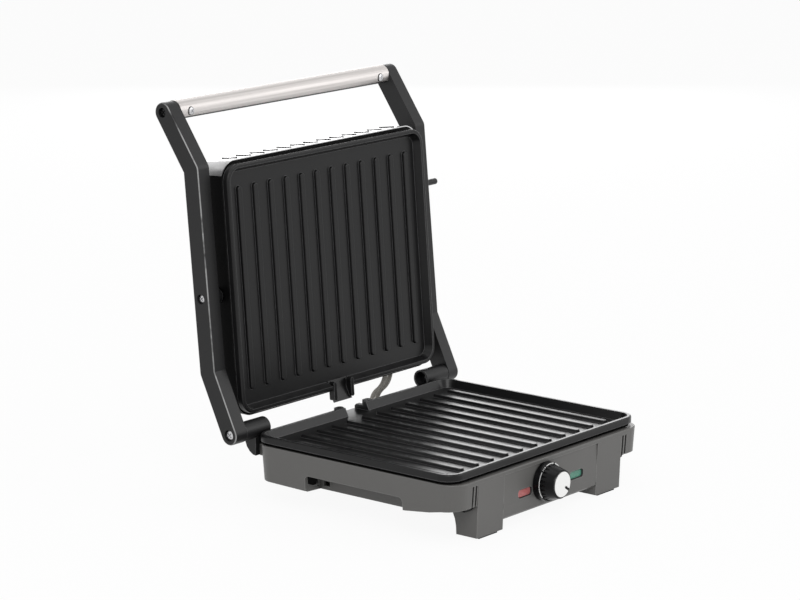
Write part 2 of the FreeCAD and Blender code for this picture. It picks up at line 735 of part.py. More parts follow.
def on_panel(item):
    # turns the knob's axis to the front at the shaft's place
    set_place(item, knob_x, panel_front, knob_z)
    item.Placement = Placement(item.Placement.Base, Rotation(Vector(1, 0, 0), 90))
    return item


on_panel(node(knob))
cap = new_body("knob_face")
disc = new_sketch(cap, "disc_sketch", offset=knob_h)
circle(disc, 0, 0, face_r - 0.9)
pad(cap, "disc", disc, 0.9)
mark = new_sketch(cap, "mark_sketch", offset=knob_h + 0.9)
pointer = math.radians(-36)
capsule(mark, 6.2 * math.cos(pointer), 6.2 * math.sin(pointer), 14 * math.cos(pointer),
        14 * math.sin(pointer), 1.4)
pocket(cap, "mark", mark, 0.5)
on_panel(node(cap))

# Bottom cover: tray, grip shelf, screw towers and rear feet
cover = new_body("bottom_cover")
shelf_top = grip_top + tray_t
tray = new_sketch(cover, "tray_sketch", "YZ_Plane")
polygon(tray, [(tray_front, shelf_top), (tray_front, 31), (-52, tray_low), (tray_rear, tray_low),
               (tray_rear, shelf_top)])
pad(cover, "tray", tray, tray_x * 2, midplane=True)
shelf = new_sketch(cover, "shelf_sketch", offset=grip_top)
shelf_x = case_w * half - 4.9
polygon(shelf, [(-shelf_x, tray_front), (-shelf_x, 96), (-134, 106), (134, 106), (shelf_x, 96),
                (shelf_x, tray_front)])
pad(cover, "shelf", shelf, tray_t)
end_wall = new_sketch(cover, "end_wall_sketch", "XZ_Plane", -grip_rear - 0.4)
for side in (-1, 1):
    polygon(end_wall, [((tray_x - 1) * side, tray_low), ((shelf_x - 1.2) * side, tray_low + 1),
                       (shelf_x * side, grip_top + 1), ((tray_x - 1) * side, grip_top + 1)])
pad(cover, "end_walls", end_wall, tray_t, back=True)
hollow = new_sketch(cover, "end_window_sketch", "XZ_Plane", -grip_rear)
for side in (-1, 1):
    polygon(hollow, [((tray_x + 2.5) * side, 22.6), ((shelf_x - 1.6) * side, 28.4),
                     ((shelf_x - 1.6) * side, grip_top - 1.4), ((tray_x + 2.5) * side, grip_top - 1.4)])
pocket(cover, "end_windows", hollow, tray_t + 2)
tray_in = new_sketch(cover, "tray_in_sketch", "YZ_Plane")
polygon(tray_in, [(tray_front + tray_t, shelf_top + 1), (tray_front + tray_t, 33), (-51.4, tray_low + tray_t),
                  (tray_rear + 1, tray_low + tray_t), (tray_rear + 1, shelf_top + 1)])
pocket(cover, "tray_in", tray_in, (tray_x - tray_t) * 2, midplane=True)
peep = new_sketch(cover, "peep_sketch", "YZ_Plane")
rectangle(peep, 46.6, 23.8, 54.3, 28.6)
pocket(cover, "peep", peep, tray_x * 2 + 4, midplane=True)
towers = new_sketch(cover, "tower_sketch", offset=tray_low + tray_t)
for x in (post_x, -post_x):
    for y in (post_y, -post_y):
        circle(towers, x, y, 5)
pad(cover, "towers", towers, lower_sheet_z - tray_low - tray_t)
rear_feet = new_sketch(cover, "rear_foot_sketch", offset=tray_low)
circle(rear_feet, foot_x, foot_y, foot_r)
circle(rear_feet, -foot_x, foot_y, foot_r)
pad(cover, "rear_feet", rear_feet, tray_low - pad_h, back=True, draft=-3)
drill = new_sketch(cover, "drill_sketch", offset=tray_low)
for x in (post_x, -post_x):
    for y in (post_y, -post_y):
        circle(drill, x, y, 1.7)
pocket(cover, "drill", drill, 40, back=True)
sink = new_sketch(cover, "sink_sketch", offset=tray_low)
for x in (post_x, -post_x):
    for y in (post_y, -post_y):
        circle(sink, x, y, 3.4)
pocket(cover, "sink", sink, 4, back=True)
shelf_holes = new_sketch(cover, "shelf_hole_sketch", offset=grip_top)
for x in (141, -141):
    for y in (75, -77):
        circle(shelf_holes, x, y, 1.7)
pocket(cover, "shelf_holes", shelf_holes, tray_t, back=True)
vents = new_sketch(cover, "tray_vent_sketch", offset=tray_low)
capsule(vents, -60, 0, 60, 0, 1.5)
vent_cut = pocket(cover, "tray_vent", vents, tray_t, back=True)
vent_row = cover.newObject("PartDesign::LinearPattern", "tray_vents")
vent_row.Originals = [vent_cut]
vent_row.Direction = ([axis for axis in cover.Origin.OriginFeatures if axis.Role == "Y_Axis"][0], [""])
vent_row.Length = 48
vent_row.Occurrences = 7
cover.Tip = vent_row
doc.recompute()
node(cover)

# Rubber foot pads under the legs and the rear feet
front_pads = [box("pad_front_%d" % i, x - 14, -124, 0, x + 14, -106, pad_h) for i, x in enumerate((-95, 95))]
rear_pads = [cylinder("pad_rear_%d" % i, foot_r - 2.5, pad_h, x, foot_y, 0)
             for i, x in enumerate((-foot_x, foot_x))]
node(group("foot_pads", front_pads + rear_pads))


# Screws of the base
def four(name, spots, axis, head_r, head_h, shank_r, shank_l):
    return group(name, [screw("%s_%d" % (name, i), x, y, z, axis, head_r, head_h, shank_r, shank_l)
                        for i, (x, y, z) in enumerate(spots)])


corners = [(x, y) for x in (-post_x, post_x) for y in (-post_y, post_y)]
node(four("plate_screws", [(x, y, tray_low + 1.6) for x, y in corners], "z", 3.2, 2.4, 1.7, 26))
node(four("cover_screws", [(x, y, grip_top - 2) for x in (-141, 141) for y in (-77, 75)],
          "z", 3, 2, 1.4, 10))


# Hinge brackets: barrel, gusset and foot behind the casing
def bracket(name, sign):
    body = new_body(name)
    back = sign < 0
    barrel = new_sketch(body, name + "_barrel_sketch", "YZ_Plane", barrel_in * sign)
    circle(barrel, hinge_y, hinge_z, barrel_r)
    pad(body, name + "_barrel", barrel, barrel_out - barrel_in, back=back)
    gusset = new_sketch(body, name + "_gusset_sketch", "YZ_Plane", (barrel_in + 4) * sign)
    polygon(gusset, [(bracket_y, 44.5), (131, 45), (135.5, 47.8), (139, 52), (141.2, 57.5), (142.4, 63.5),
                     (hinge_y + 7.3, hinge_z - 3), (hinge_y, hinge_z + 1), (bracket_y, hinge_z - 1)])
    pad(body, name + "_gusset", gusset, 15, back=back)
    foot = new_sketch(body, name + "_foot_sketch", "YZ_Plane", (barrel_in - 15) * sign)
    rectangle(foot, bracket_y, 45, bracket_y + 3, 55)
    pad(body, name + "_foot", foot, 34, back=back)
    bore = new_sketch(body, name + "_bore_sketch", "YZ_Plane", (barrel_in - 1) * sign)
    circle(bore, hinge_y, hinge_z, pin_r + pin_gap)
    pocket(body, name + "_bore", bore, 40, back=not back)
    mouth = new_sketch(body, name + "_mouth_sketch", "YZ_Plane", (barrel_in - 1) * sign)
    circle(mouth, hinge_y, hinge_z, barrel_r - 1.8)
    pocket(body, name + "_mouth", mouth, 12, back=not back)
    holes = new_sketch(body, name + "_hole_sketch", "XZ_Plane", -bracket_y - 5)
    circle(holes, (barrel_in - 11) * sign, 50, 1.5)
    circle(holes, (barrel_in - 1) * sign, 50, 1.5)
    pocket(body, name + "_holes", holes, 6, back=True)
    return node(body)


bracket("hinge_bracket_left", -1)
bracket("hinge_bracket_right", 1)
screw_spots = [(side * (barrel_in + reach), bracket_y + 4.6, 50) for side in (-1, 1) for reach in (-11, -1)]
node(four("bracket_screws", screw_spots, "-y", 2.8, 1.6, 1.5, 11))

# Wiring parts in the base
gland_outer = cylinder("gland_flange", 9.5, 2.5, -80, 122, 41, "y")
gland_neck = cylinder("gland_neck", 7, 12, -80, 110.6, 41, "y")
gland_hole = cylinder("gland_hole", 3.6, 30, -80, 105, 41, "y")
node(cut("cord_gland", join("gland_whole", [gland_outer, gland_neck]), [gland_hole]))
block_body = box("block_body", -30, 58, tray_low + tray_t, 30, 76, tray_low + tray_t + 13)
block_holes = [cylinder("block_hole_%d" % i, 2.2, 9, x, 67, tray_low + tray_t + 6) for i, x in
               enumerate((-20, 0, 20))]
node(cut("terminal_block", block_body, block_holes))
fuse_body = cylinder("fuse_body", 2.6, 22, 52, -11, lower_sheet_z - 2.6, "y")
fuse_pins = cylinder("fuse_pins", 0.6, 40, 52, -20, lower_sheet_z - 2.6, "y")
node(join("thermal_fuse", [fuse_body, fuse_pins]))


# Arms: a knee near the hinge, a straight run and a raised handle end
def arm(name, sign):
    body = new_body(name)
    back = sign < 0
    inner = arm_in * sign
    outer = (arm_in + arm_t) * sign
    runs = [("root", 0, 0, -knee_a, knee_b), ("run", -knee_a, knee_b, -bend_a, bend_b),
            ("tip", -bend_a, bend_b, -handle_a, handle_b)]
    for tag, y0, z0, y1, z1 in runs:
        sketch = new_sketch(body, name + "_%s_sketch" % tag, "YZ_Plane", inner)
        capsule(sketch, y0, z0, y1, z1, arm_r)
        pad(body, name + "_" + tag, sketch, arm_t, back=back)
    edge = abs(outer.value)
    round_edges(body, name + "_round",
                lambda b: b.XLength < 0.01 and abs(abs(b.XMin) - edge) < 0.01, 1.8)
    sinks = new_sketch(body, name + "_sink_sketch", "YZ_Plane", outer)
    circle(sinks, 0, 0, 5.6)
    circle(sinks, -float_a, float_b, 4.8)
    circle(sinks, -handle_a, handle_b, 4.8)
    pocket(body, name + "_sinks", sinks, 4.5, back=back)
    for tag, y, z, radius in (("pin", 0, 0, pin_r), ("float", -float_a, float_b, 3),
                              ("top", -handle_a, handle_b, 2)):
        hole = new_sketch(body, name + "_%s_hole_sketch" % tag, "YZ_Plane", outer + sign * 2)
        circle(hole, y, z, radius)
        pocket(body, name + "_%s_hole" % tag, hole, 40, back=back)
    return body


left_arm = arm("arm_left", -1)
in_lid(node(left_arm))
right_arm = arm("arm_right", 1)
track = new_sketch(right_arm, "track_sketch", "YZ_Plane", arm_in - 1)
capsule(track, -tab_a, tab_b, -tab_a - tab_travel, tab_b, 3.6)
pocket(right_arm, "track", track, arm_t + 4, back=True)
seat = new_sketch(right_arm, "track_seat_sketch", "YZ_Plane", arm_in - 1)
capsule(seat, -tab_a, tab_b, -tab_a - tab_travel, tab_b, 5.4)
pocket(right_arm, "track_seat", seat, 5, back=True)
in_lid(node(right_arm))

# Lock tab that slides in the right arm's slot
tab_bar = new_body("lock_tab")
stem_sketch = new_sketch(tab_bar, "tab_stem_sketch", "YZ_Plane", arm_in + 0.4)
circle(stem_sketch, -tab_a, tab_b, 3.25)
pad(tab_bar, "tab_stem", stem_sketch, arm_t + 18)
head_sketch = new_sketch(tab_bar, "tab_head_sketch", "YZ_Plane", arm_in + 0.4)
circle(head_sketch, -tab_a, tab_b, 5)
pad(tab_bar, "tab_head", head_sketch, 3.2)
round_edges(tab_bar, "tab_round", lambda b: b.XLength < 0.01 and b.XMin > 185, 1.2)
in_lid(node(tab_bar))

# Hinge and float pins with recessed heads, and the arm-top screws
pins = [screw("hinge_pin_%d" % i, side * (arm_in + arm_t - 1.2), 0, 0, axis, 5.4, 3.3, pin_r, 35)
        for i, (side, axis) in enumerate(((-1, "x"), (1, "-x")))]
in_lid(node(group("hinge_pins", pins)))
pins = [screw("float_pin_%d" % i, side * (arm_in + arm_t - 1.7), -float_a, float_b, axis, 4.6, 2.8, 3, 24)
        for i, (side, axis) in enumerate(((-1, "x"), (1, "-x")))]
in_lid(node(group("float_pins", pins)))
pins = [screw("arm_screw_%d" % i, side * (arm_in + arm_t - 1.7), -handle_a, handle_b, axis, 4.6, 2.8, 2, 22)
        for i, (side, axis) in enumerate(((-1, "x"), (1, "-x")))]
in_lid(node(group("arm_screws", pins)))

# Handle: dark core with a bright curved cover around its outer side
core = new_body("handle_core")
core_sketch = new_sketch(core, "core_sketch", "YZ_Plane")
circle(core_sketch, -handle_a, handle_b, handle_r - skin_t)
pad(core, "core", core_sketch, arm_in * 2, midplane=True)
ends = new_sketch(core, "core_hole_sketch", "YZ_Plane", arm_in)
circle(ends, -handle_a, handle_b, 2)
end_hole = pocket(core, "core_hole", ends, 11)
mirror_x(core, "core_holes", [end_hole])
under = new_sketch(core, "core_under_sketch", offset=handle_b - 10)
circle(under, -grip_screw_x, -handle_a + 1.5, 1.6)
circle(under, grip_screw_x, -handle_a + 1.5, 1.6)
pocket(core, "core_under", under, 12, back=True)
in_lid(node(core))
skin = new_body("handle_cover")
skin_sketch = new_sketch(skin, "skin_sketch", "YZ_Plane")
circle(skin_sketch, -handle_a, handle_b, handle_r)
circle(skin_sketch, -handle_a, handle_b, handle_r - skin_t)
pad(skin, "skin", skin_sketch, arm_in * 2, midplane=True)
seam = new_sketch(skin, "skin_seam_sketch", "YZ_Plane")
rectangle(seam, -handle_a + 6.4, handle_b - 12, -handle_a + 12, handle_b + 12)
pocket(skin, "skin_seam", seam, arm_in * 2 + 4, midplane=True)
skin_hole = new_sketch(skin, "skin_hole_sketch", offset=handle_b - 12)
circle(skin_hole, -grip_screw_x, -handle_a + 1.5, 1.6)
circle(skin_hole, grip_screw_x, -handle_a + 1.5, 1.6)
pocket(skin, "skin_holes", skin_hole, 6, back=True)
in_lid(node(skin))
screws = [screw("handle_screw_%d" % i, x, -handle_a + 1.5, handle_b - handle_r - 1.45, "z", 3.6, 1.4, 1.6, 9)
          for i, x in enumerate((-grip_screw_x, grip_screw_x))]
in_lid(node(group("handle_screws", screws)))

# Lid casing: dark tray that carries the upper plate, with its bosses
casing = new_body("lid_casing")
plan = new_sketch(casing, "lid_plan", offset=lid_low)
rounded(plan, 0, -lid_mid, lid_w - cover_t * 2, lid_d - cover_t * 2, lid_r - cover_t)
pad(casing, "lid_block", plan, lid_top - lid_low, draft=-lid_draft)
round_edges(casing, "lid_round",
            lambda b: b.ZLength < 0.01 and abs(b.ZMin - lid_top.value) < 0.01, lid_edge_r - cover_t)
hollow = new_sketch(casing, "lid_hollow_sketch", offset=lid_low)
rounded(hollow, 0, -lid_mid, lid_w - cover_t * 2 - wall * 2, lid_d - cover_t * 2 - wall * 2,
        lid_r - cover_t - wall)
pocket(casing, "lid_hollow", hollow, lid_top - lid_low - wall, back=True, draft=-lid_draft)
bosses = new_sketch(casing, "lid_boss_sketch", offset=upper_sheet_z + sheet_t)
for x in (post_x, -post_x):
    for y in (post_y, -post_y):
        circle(bosses, x, y - lid_mid, 5)
pad(casing, "lid_bosses", bosses, lid_top - 1 - upper_sheet_z - sheet_t)
drill = new_sketch(casing, "lid_drill_sketch", offset=lid_top)
for x in (post_x, -post_x):
    for y in (post_y, -post_y):
        circle(drill, x, y - lid_mid, 1.7)
pocket(casing, "lid_drill", drill, 30)
sink = new_sketch(casing, "lid_sink_sketch", offset=lid_top)
for x in (post_x, -post_x):
    for y in (post_y, -post_y):
        circle(sink, x, y - lid_mid, 3.4)
pocket(casing, "lid_sink", sink, 3.2)
pivot = new_sketch(casing, "lid_pivot_sketch", "YZ_Plane")
circle(pivot, -float_a, float_b, 6)
pocket(casing, "lid_pivot", pivot, lid_w + 10, midplane=True)
lead_way = new_sketch(casing, "lead_way_sketch", "XZ_Plane", 5)
capsule(lead_way, lead_x - 4.2, 16.4, lead_x + 4.2, 16.4, 3.4)
pocket(casing, "lead_way", lead_way, 16, back=True)
in_lid(node(casing))
sleeves = []
for i, side in enumerate((-1, 1)):
    axis = "x" if side > 0 else "-x"
    flange = cylinder("sleeve_flange_%d" % i, 7.5, arm_in - 150.6, side * 150, -float_a, float_b, axis)
    neck = cylinder("sleeve_neck_%d" % i, 6, 12, side * 140, -float_a, float_b, axis)
    bore = cylinder("sleeve_bore_%d" % i, 3 + pin_gap, 24, side * 136, -float_a, float_b, axis)
    sleeves.append(cut("sleeve_%d" % i, join("sleeve_whole_%d" % i, [flange, neck]), [bore]))
in_lid(node(group("pivot_sleeves", sleeves)))
in_lid(node(four("lid_screws", [(x, y - lid_mid, lid_top - 0.8) for x, y in corners],
                 "-z", 3.2, 2.4, 1.7, 20)))

# Lid cover: bright sheet over the top and front, with slots in its front wall
top = new_body("lid_cover")
plan = new_sketch(top, "cover_plan", offset=lid_low)
rounded(plan, 0, -lid_mid, lid_w, lid_d, lid_r)
pad(top, "cover_block", plan, lid_top + cover_t - lid_low, draft=-lid_draft)
room = new_sketch(top, "cover_room_sketch", offset=lid_low)
rounded(room, 0, -lid_mid, lid_w - cover_t * 2, lid_d - cover_t * 2, lid_r - cover_t)
pocket(top, "cover_room", room, lid_top - lid_low, back=True, draft=-lid_draft)
round_edges(top, "cover_inner_round",
            lambda b: b.ZLength < 0.01 and abs(b.ZMin - lid_top.value) < 0.01, lid_edge_r - cover_t)
round_edges(top, "cover_round",
            lambda b: b.ZLength < 0.01 and abs(b.ZMin - (lid_top + cover_t).value) < 0.01, lid_edge_r)
sides = new_sketch(top, "cover_side_sketch", "XZ_Plane")
rectangle(sides, -160, 0, 160, 34.4)
pocket(top, "cover_sides", sides, lid_mid + lid_d * half - lid_r + 6, back=True)
slits = new_sketch(top, "slit_sketch", "XZ_Plane", lid_mid + lid_d * half - 10)
capsule(slits, -120, 14.6, -120, 32.6, 1.2)
slit = pocket(top, "slit", slits, 14, back=True)
row_of(top, "slits", [slit], "X_Axis", as_dim(20), 13)
in_lid(node(top))


# Braided lead pair: from the base's rear wall in a slack loop up into the lid
def strand(name, x):
    body = new_body(name)
    path = new_sketch(body, name + "_path", "YZ_Plane", x)
    sweep = math.radians(140)
    sway = sweep - math.pi / 2
    low = Vector(156.3, lead_z.value, 0)
    first = low + Vector(0, bow_r.value, 0)
    turn = first + Vector(math.sin(sweep), -math.cos(sweep), 0) * bow_r.value
    after = turn + Vector(math.cos(sweep), math.sin(sweep), 0) * 5.8
    second = after + Vector(math.sin(sweep), -math.cos(sweep), 0) * loop_r.value
    high = second - Vector(loop_r.value, 0, 0)

    def line(start, end):
        return path.addGeometry(Part.LineSegment(start, end))

    def bow(centre, radius, start, end):
        ring = Part.Circle(centre, Vector(0, 0, 1), radius)
        return path.addGeometry(Part.ArcOfCircle(ring, start, end))

    run = [line(Vector(113, lead_z.value, 0), low),
           bow(first, bow_r.value, -math.pi / 2, sweep - math.pi / 2), line(turn, after),
           bow(second, loop_r.value, math.pi, math.pi + sway), line(high, high + Vector(0, 3.4, 0))]
    joints = [(0, 2, 1, 1), (1, 2, 2, 1), (2, 2, 3, 2), (3, 1, 4, 1)]
    for a, pa, b, pb in joints:
        path.addConstraint(Sketcher.Constraint("Coincident", run[a], pa, run[b], pb))
    ring = new_sketch(body, name + "_ring", "XZ_Plane", -113)
    circle(ring, x, lead_z, lead_r)
    pipe = body.newObject("PartDesign::AdditivePipe", name + "_sleeve")
    pipe.Profile = ring
    pipe.Spine = (path, ["Edge%d" % (i + 1) for i in range(len(run))])
    path.Visibility = False
    ring.Visibility = False
    return body


node(group("lid_lead", [strand("lead_near", lead_x - 4.2), strand("lead_far", lead_x + 4.2)]))
grommet = new_body("lead_grommet")
ring = new_sketch(grommet, "grommet_sketch", "XZ_Plane", -115)
capsule(ring, lead_x - 4.2, lead_z, lead_x + 4.2, lead_z, 5)
pad(grommet, "grommet_neck", ring, 8, back=True)
lip = new_sketch(grommet, "grommet_lip_sketch", "XZ_Plane", -121.4)
capsule(lip, lead_x - 4.2, lead_z, lead_x + 4.2, lead_z, 7)
pad(grommet, "grommet_lip", lip, 2, back=True)
ways = new_sketch(grommet, "grommet_way_sketch", "XZ_Plane", -110)
circle(ways, lead_x - 4.2, lead_z, lead_r)
circle(ways, lead_x + 4.2, lead_z, lead_r)
pocket(grommet, "grommet_ways", ways, 30)
node(grommet)

# Check every object, then write one file per node
doc.recompute()
for item in doc.Objects:
    if "Invalid" in item.State or "Error" in item.State:
        raise RuntimeError("%s: %s" % (item.Label, item.State))
os.makedirs("parts", exist_ok=True)
for item in nodes:
    if item.Shape.isNull() or not item.Shape.isValid():
        raise RuntimeError("%s has no valid shape" % item.Label)
    box_now = item.Shape.optimalBoundingBox()
    print("%-22s solids %2d volume %9.0f  x %7.1f %7.1f  y %7.1f %7.1f  z %7.1f %7.1f" % (
        item.Label, len(item.Shape.Solids), item.Shape.Volume, box_now.XMin, box_now.XMax, box_now.YMin,
        box_now.YMax, box_now.ZMin, box_now.ZMax))
    item.Shape.exportStep("parts/%s.step" % item.Label)
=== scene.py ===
import math

import bmesh
import bpy
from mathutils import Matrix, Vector


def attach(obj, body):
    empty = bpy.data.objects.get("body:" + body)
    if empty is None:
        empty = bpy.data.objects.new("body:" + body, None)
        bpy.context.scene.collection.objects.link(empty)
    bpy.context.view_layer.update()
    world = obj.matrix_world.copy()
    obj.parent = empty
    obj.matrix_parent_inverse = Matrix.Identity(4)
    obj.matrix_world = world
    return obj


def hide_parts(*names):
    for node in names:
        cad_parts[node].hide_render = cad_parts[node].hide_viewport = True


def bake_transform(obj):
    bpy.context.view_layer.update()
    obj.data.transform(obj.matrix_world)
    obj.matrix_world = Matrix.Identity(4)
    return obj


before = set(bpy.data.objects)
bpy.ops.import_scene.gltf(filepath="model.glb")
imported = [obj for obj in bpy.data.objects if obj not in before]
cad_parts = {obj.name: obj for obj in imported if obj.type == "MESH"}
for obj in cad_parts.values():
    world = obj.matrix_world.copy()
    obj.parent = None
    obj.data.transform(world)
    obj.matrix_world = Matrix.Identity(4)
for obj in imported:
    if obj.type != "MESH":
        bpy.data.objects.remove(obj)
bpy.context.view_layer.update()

MM = 0.001

# Places shared with the part, in millimetres
HINGE = Vector((0, 133.7, 70.1))
LID_TILT = math.radians(4.4)
KNOB_X, KNOB_Z = -10.5, 36.0
PANEL_Y = -127.0
SKIRT_Y = PANEL_Y - 6.8
LENS_X, LENS_Z = 41.5, 31.0
HANDLE_ALONG, HANDLE_BACK, HANDLE_R = 314.0, 58.0, 10.3
GRIP_SCREW_X, GRIP_SCREW_ALONG, GRIP_SCREW_BACK = 144.0, 312.5, 46.25
COVER_ALONG, COVER_BACK = 264.6, 8.4
COVER_TAPER = math.tan(math.radians(4))
SLOT_NEAR, SLOT_FAR, SLOT_R = 14.6, 32.6, 1.2
SLOT_XS = range(-120, 121, 20)
LEAD_XS = (86.0, 94.4)
LEAD_R = 2.5
LEAD_ROUTE = [(113, 36), (135, 36), (165.4, 36), (171.6, 53.1), (150.9, 70.5), (150.9, 86)]
TAIL_Z = 72.0
BRAID_BANDS = 8
SIDES = (("left", -1), ("right", 1))


def on_lid(x, along, back):
    """A point of the open lid in millimetres: along from the hinge line, back from the plate's face."""
    sine, cosine = math.sin(LID_TILT), math.cos(LID_TILT)
    return HINGE + Vector((x, along * sine + back * cosine, along * cosine - back * sine))


def lid_direction(along, back):
    """A direction of the open lid in the row frame."""
    return (on_lid(0, along, back) - HINGE).normalized()


def shown(name, mesh, finish):
    """An object in the scene for a mesh with one finish."""
    mesh.materials.append(finish)
    item = bpy.data.objects.new(name, mesh)
    bpy.context.scene.collection.objects.link(item)
    return item


def fitted(item, body, slot, *nodes):
    """Fix a piece to its body and hide the nodes that it stands for; the colour slot is not used."""
    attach(item, body)
    if nodes:
        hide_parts(*nodes)


# Node maths
class Field:
    """A socket in a node tree; arithmetic on it adds Math nodes."""

    def __init__(self, tree, socket):
        self.tree = tree
        self.socket = socket

    def out(self, name):
        return Field(self.tree, self.socket.node.outputs[name])

    def math(self, operation, *others):
        """A Math node whose first term is this socket."""
        return self.tree.math(operation, self, *others)

    def __add__(self, other):
        return self.math("ADD", other)

    def __radd__(self, other):
        return self.tree.math("ADD", other, self)

    def __sub__(self, other):
        return self.math("SUBTRACT", other)

    def __rsub__(self, other):
        return self.tree.math("SUBTRACT", other, self)

    def __mul__(self, other):
        return self.math("MULTIPLY", other)

    def __rmul__(self, other):
        return self.tree.math("MULTIPLY", other, self)

    def __truediv__(self, other):
        return self.math("DIVIDE", other)

    def __pow__(self, other):
        return self.math("POWER", other)

    def __abs__(self):
        return self.math("ABSOLUTE")

    def step(self, low, high):
        """0 below low and 1 above high, smooth between."""
        return self.tree.add("ShaderNodeMapRange", {"interpolation_type": "SMOOTHSTEP"},
                             {"Value": self, "From Min": low, "From Max": high})


class Tree:
    """A node tree that is built by adding nodes one by one."""

    def __init__(self, nodes):
        self.nodes = nodes.nodes
        self.links = nodes.links
        self.nodes.clear()

    def add(self, kind, settings, sockets, out=0):
        node = self.nodes.new(kind)
        for name, value in settings.items():
            setattr(node, name, value)
        for key, value in sockets.items():
            if isinstance(value, Field):
                self.links.new(value.socket, node.inputs[key])
            else:
                node.inputs[key].default_value = value
        return Field(self, node.outputs[out]) if len(node.outputs) else None

    def math(self, operation, *terms):
        return self.add("ShaderNodeMath", {"operation": operation}, dict(enumerate(terms)))

    def mix(self, amount, first, second):
        """A colour between two others."""
        sockets = {0: amount}
        for index, colour in ((6, first), (7, second)):
            sockets[index] = colour if isinstance(colour, Field) else (*colour, 1.0)
        return self.add("ShaderNodeMix", {"data_type": "RGBA"}, sockets, out=2)

    def straight_rays(self):
        """1 for rays that look straight, by mirror or through glass at the backdrop, for its pale tone."""
        path = self.add("ShaderNodeLightPath", {}, {})
        mirrored = path.out("Is Camera Ray").math("MAXIMUM", path.out("Is Glossy Ray"))
        return mirrored.math("MAXIMUM", path.out("Is Transmission Ray"))


class Finish(Tree):
    """A procedural material on the row frame's own coordinates."""

    def __init__(self, name):
        self.material = bpy.data.materials.new(name)
        self.material.use_nodes = True
        super().__init__(self.material.node_tree)
        self.place = self.add("ShaderNodeTexCoord", {}, {}, out="Object")

    def split(self, vector):
        parts = self.add("ShaderNodeSeparateXYZ", {}, {0: vector})
        return parts.out("X"), parts.out("Y"), parts.out("Z")

    def axes(self):
        return self.split(self.place)

    def facing(self, normal):
        """The X, Y and Z parts of the surface's direction."""
        return self.split(self.add("ShaderNodeNewGeometry", {}, {}, out=normal))

    def stretched(self, scale):
        return self.add("ShaderNodeMapping", {}, {"Vector": self.place, "Scale": scale})

    def noise(self, scale, detail=2.0, place=None):
        return self.add("ShaderNodeTexNoise", {},
                        {"Vector": place or self.place, "Scale": scale, "Detail": detail})

    def edges(self, width):
        """1 along the piece's own sharp edges and 0 on its faces."""
        soft = self.add("ShaderNodeBevel", {"samples": 6}, {"Radius": width})
        flat = self.add("ShaderNodeNewGeometry", {}, {}, out="Normal")
        facing = self.add("ShaderNodeVectorMath", {"operation": "DOT_PRODUCT"}, {0: soft, 1: flat}, out="Value")
        return (1.0 - facing).step(0.004, 0.10)

    def hollows(self, reach, least, most):
        """1 deep in slots and gaps and 0 on open faces."""
        open_sky = self.add("ShaderNodeAmbientOcclusion", {"samples": 8}, {"Distance": reach}, out="AO")
        return (1.0 - open_sky).step(least, most)

    def surface(self, colour, roughness, metallic=0.0, height=None, depth=0.0, **constants):
        sockets = {"Base Color": colour if isinstance(colour, Field) else (*colour, 1.0),
                   "Roughness": roughness, "Metallic": metallic}
        if height is not None:
            sockets["Normal"] = self.add("ShaderNodeBump", {},
                                         {"Strength": 1.0, "Distance": depth, "Height": height})
        for name, value in constants.items():
            sockets[name.replace("_", " ")] = value
        shader = self.add("ShaderNodeBsdfPrincipled", {}, sockets)
        self.add("ShaderNodeOutputMaterial", {}, {"Surface": shader})
        return self.material


# Finishes
def nonstick_coating():
    """Satin fluoropolymer coat on cast metal, with a painted highlight along its edges."""
    finish = Finish("nonstick_coating")
    grain = finish.noise(1500.0, 3.0)
    cloud = finish.noise(45.0, 2.0)
    fleck = finish.add("ShaderNodeTexVoronoi", {}, {"Vector": finish.place, "Scale": 620.0})
    spark = 1.0 - fleck.step(0.08, 0.2)
    colour = finish.mix(spark * 0.4, (0.0052, 0.0052, 0.0055), (0.028, 0.028, 0.029))
    # Edges lightened toward pale grey: painted highlight along rims and ribs
    edge_highlighted = finish.mix(finish.edges(0.0011) * (0.4 + 0.4 * cloud), colour, (0.16, 0.16, 0.163))
    return finish.surface(edge_highlighted, 0.25 + 0.1 * cloud, 0.0, grain, 0.00003, Specular_IOR_Level=0.26)


def spark_textured(name, light, dark, roughness, grain_depth, gloss, edge):
    """Moulded plastic with an eroded mould's fine grain, with a painted highlight on its edges and painted shade in its
    hollows.
    """
    finish = Finish(name)
    grain = finish.noise(2600.0, 3.0)
    cloud = finish.noise(30.0, 3.0)
    fine = finish.noise(5200.0, 1.0)
    # Edges lightened toward the edge colour: painted highlight
    colour = finish.mix(finish.edges(0.0010) * (0.3 + 0.5 * cloud), finish.mix(cloud, dark, light), edge)
    # Hollows darkened to a tenth of the dark tone: painted shade
    hollow_shaded = finish.mix(finish.hollows(0.007, 0.3, 0.62) * 0.92, colour, [part * 0.1 for part in dark])
    return finish.surface(hollow_shaded, roughness + 0.08 * (fine - 0.5) + 0.06 * (cloud - 0.5), 0.0,
                          grain, grain_depth, Specular_IOR_Level=gloss)


def arm_black():
    """Black moulding whose long rounded edges carry a painted highlight."""
    finish = Finish("arm_black")
    grain = finish.noise(2600.0, 3.0)
    cloud = finish.noise(55.0, 3.0)
    facing_x, _, _ = finish.facing("Normal")
    sideways = facing_x ** 2.0
    edge = (sideways * (1.0 - sideways) * 4.0).step(0.25, 0.9)
    colour = finish.mix(cloud, (0.007, 0.007, 0.0073), (0.0105, 0.0105, 0.011))
    # Rounded edges lightened toward grey: painted highlight
    edge_highlighted = finish.mix(edge * cloud.step(0.3, 0.6), colour, (0.30, 0.30, 0.30))
    return finish.surface(edge_highlighted, 0.38 + 0.06 * cloud, 0.0, grain, 0.00003, Specular_IOR_Level=0.3)


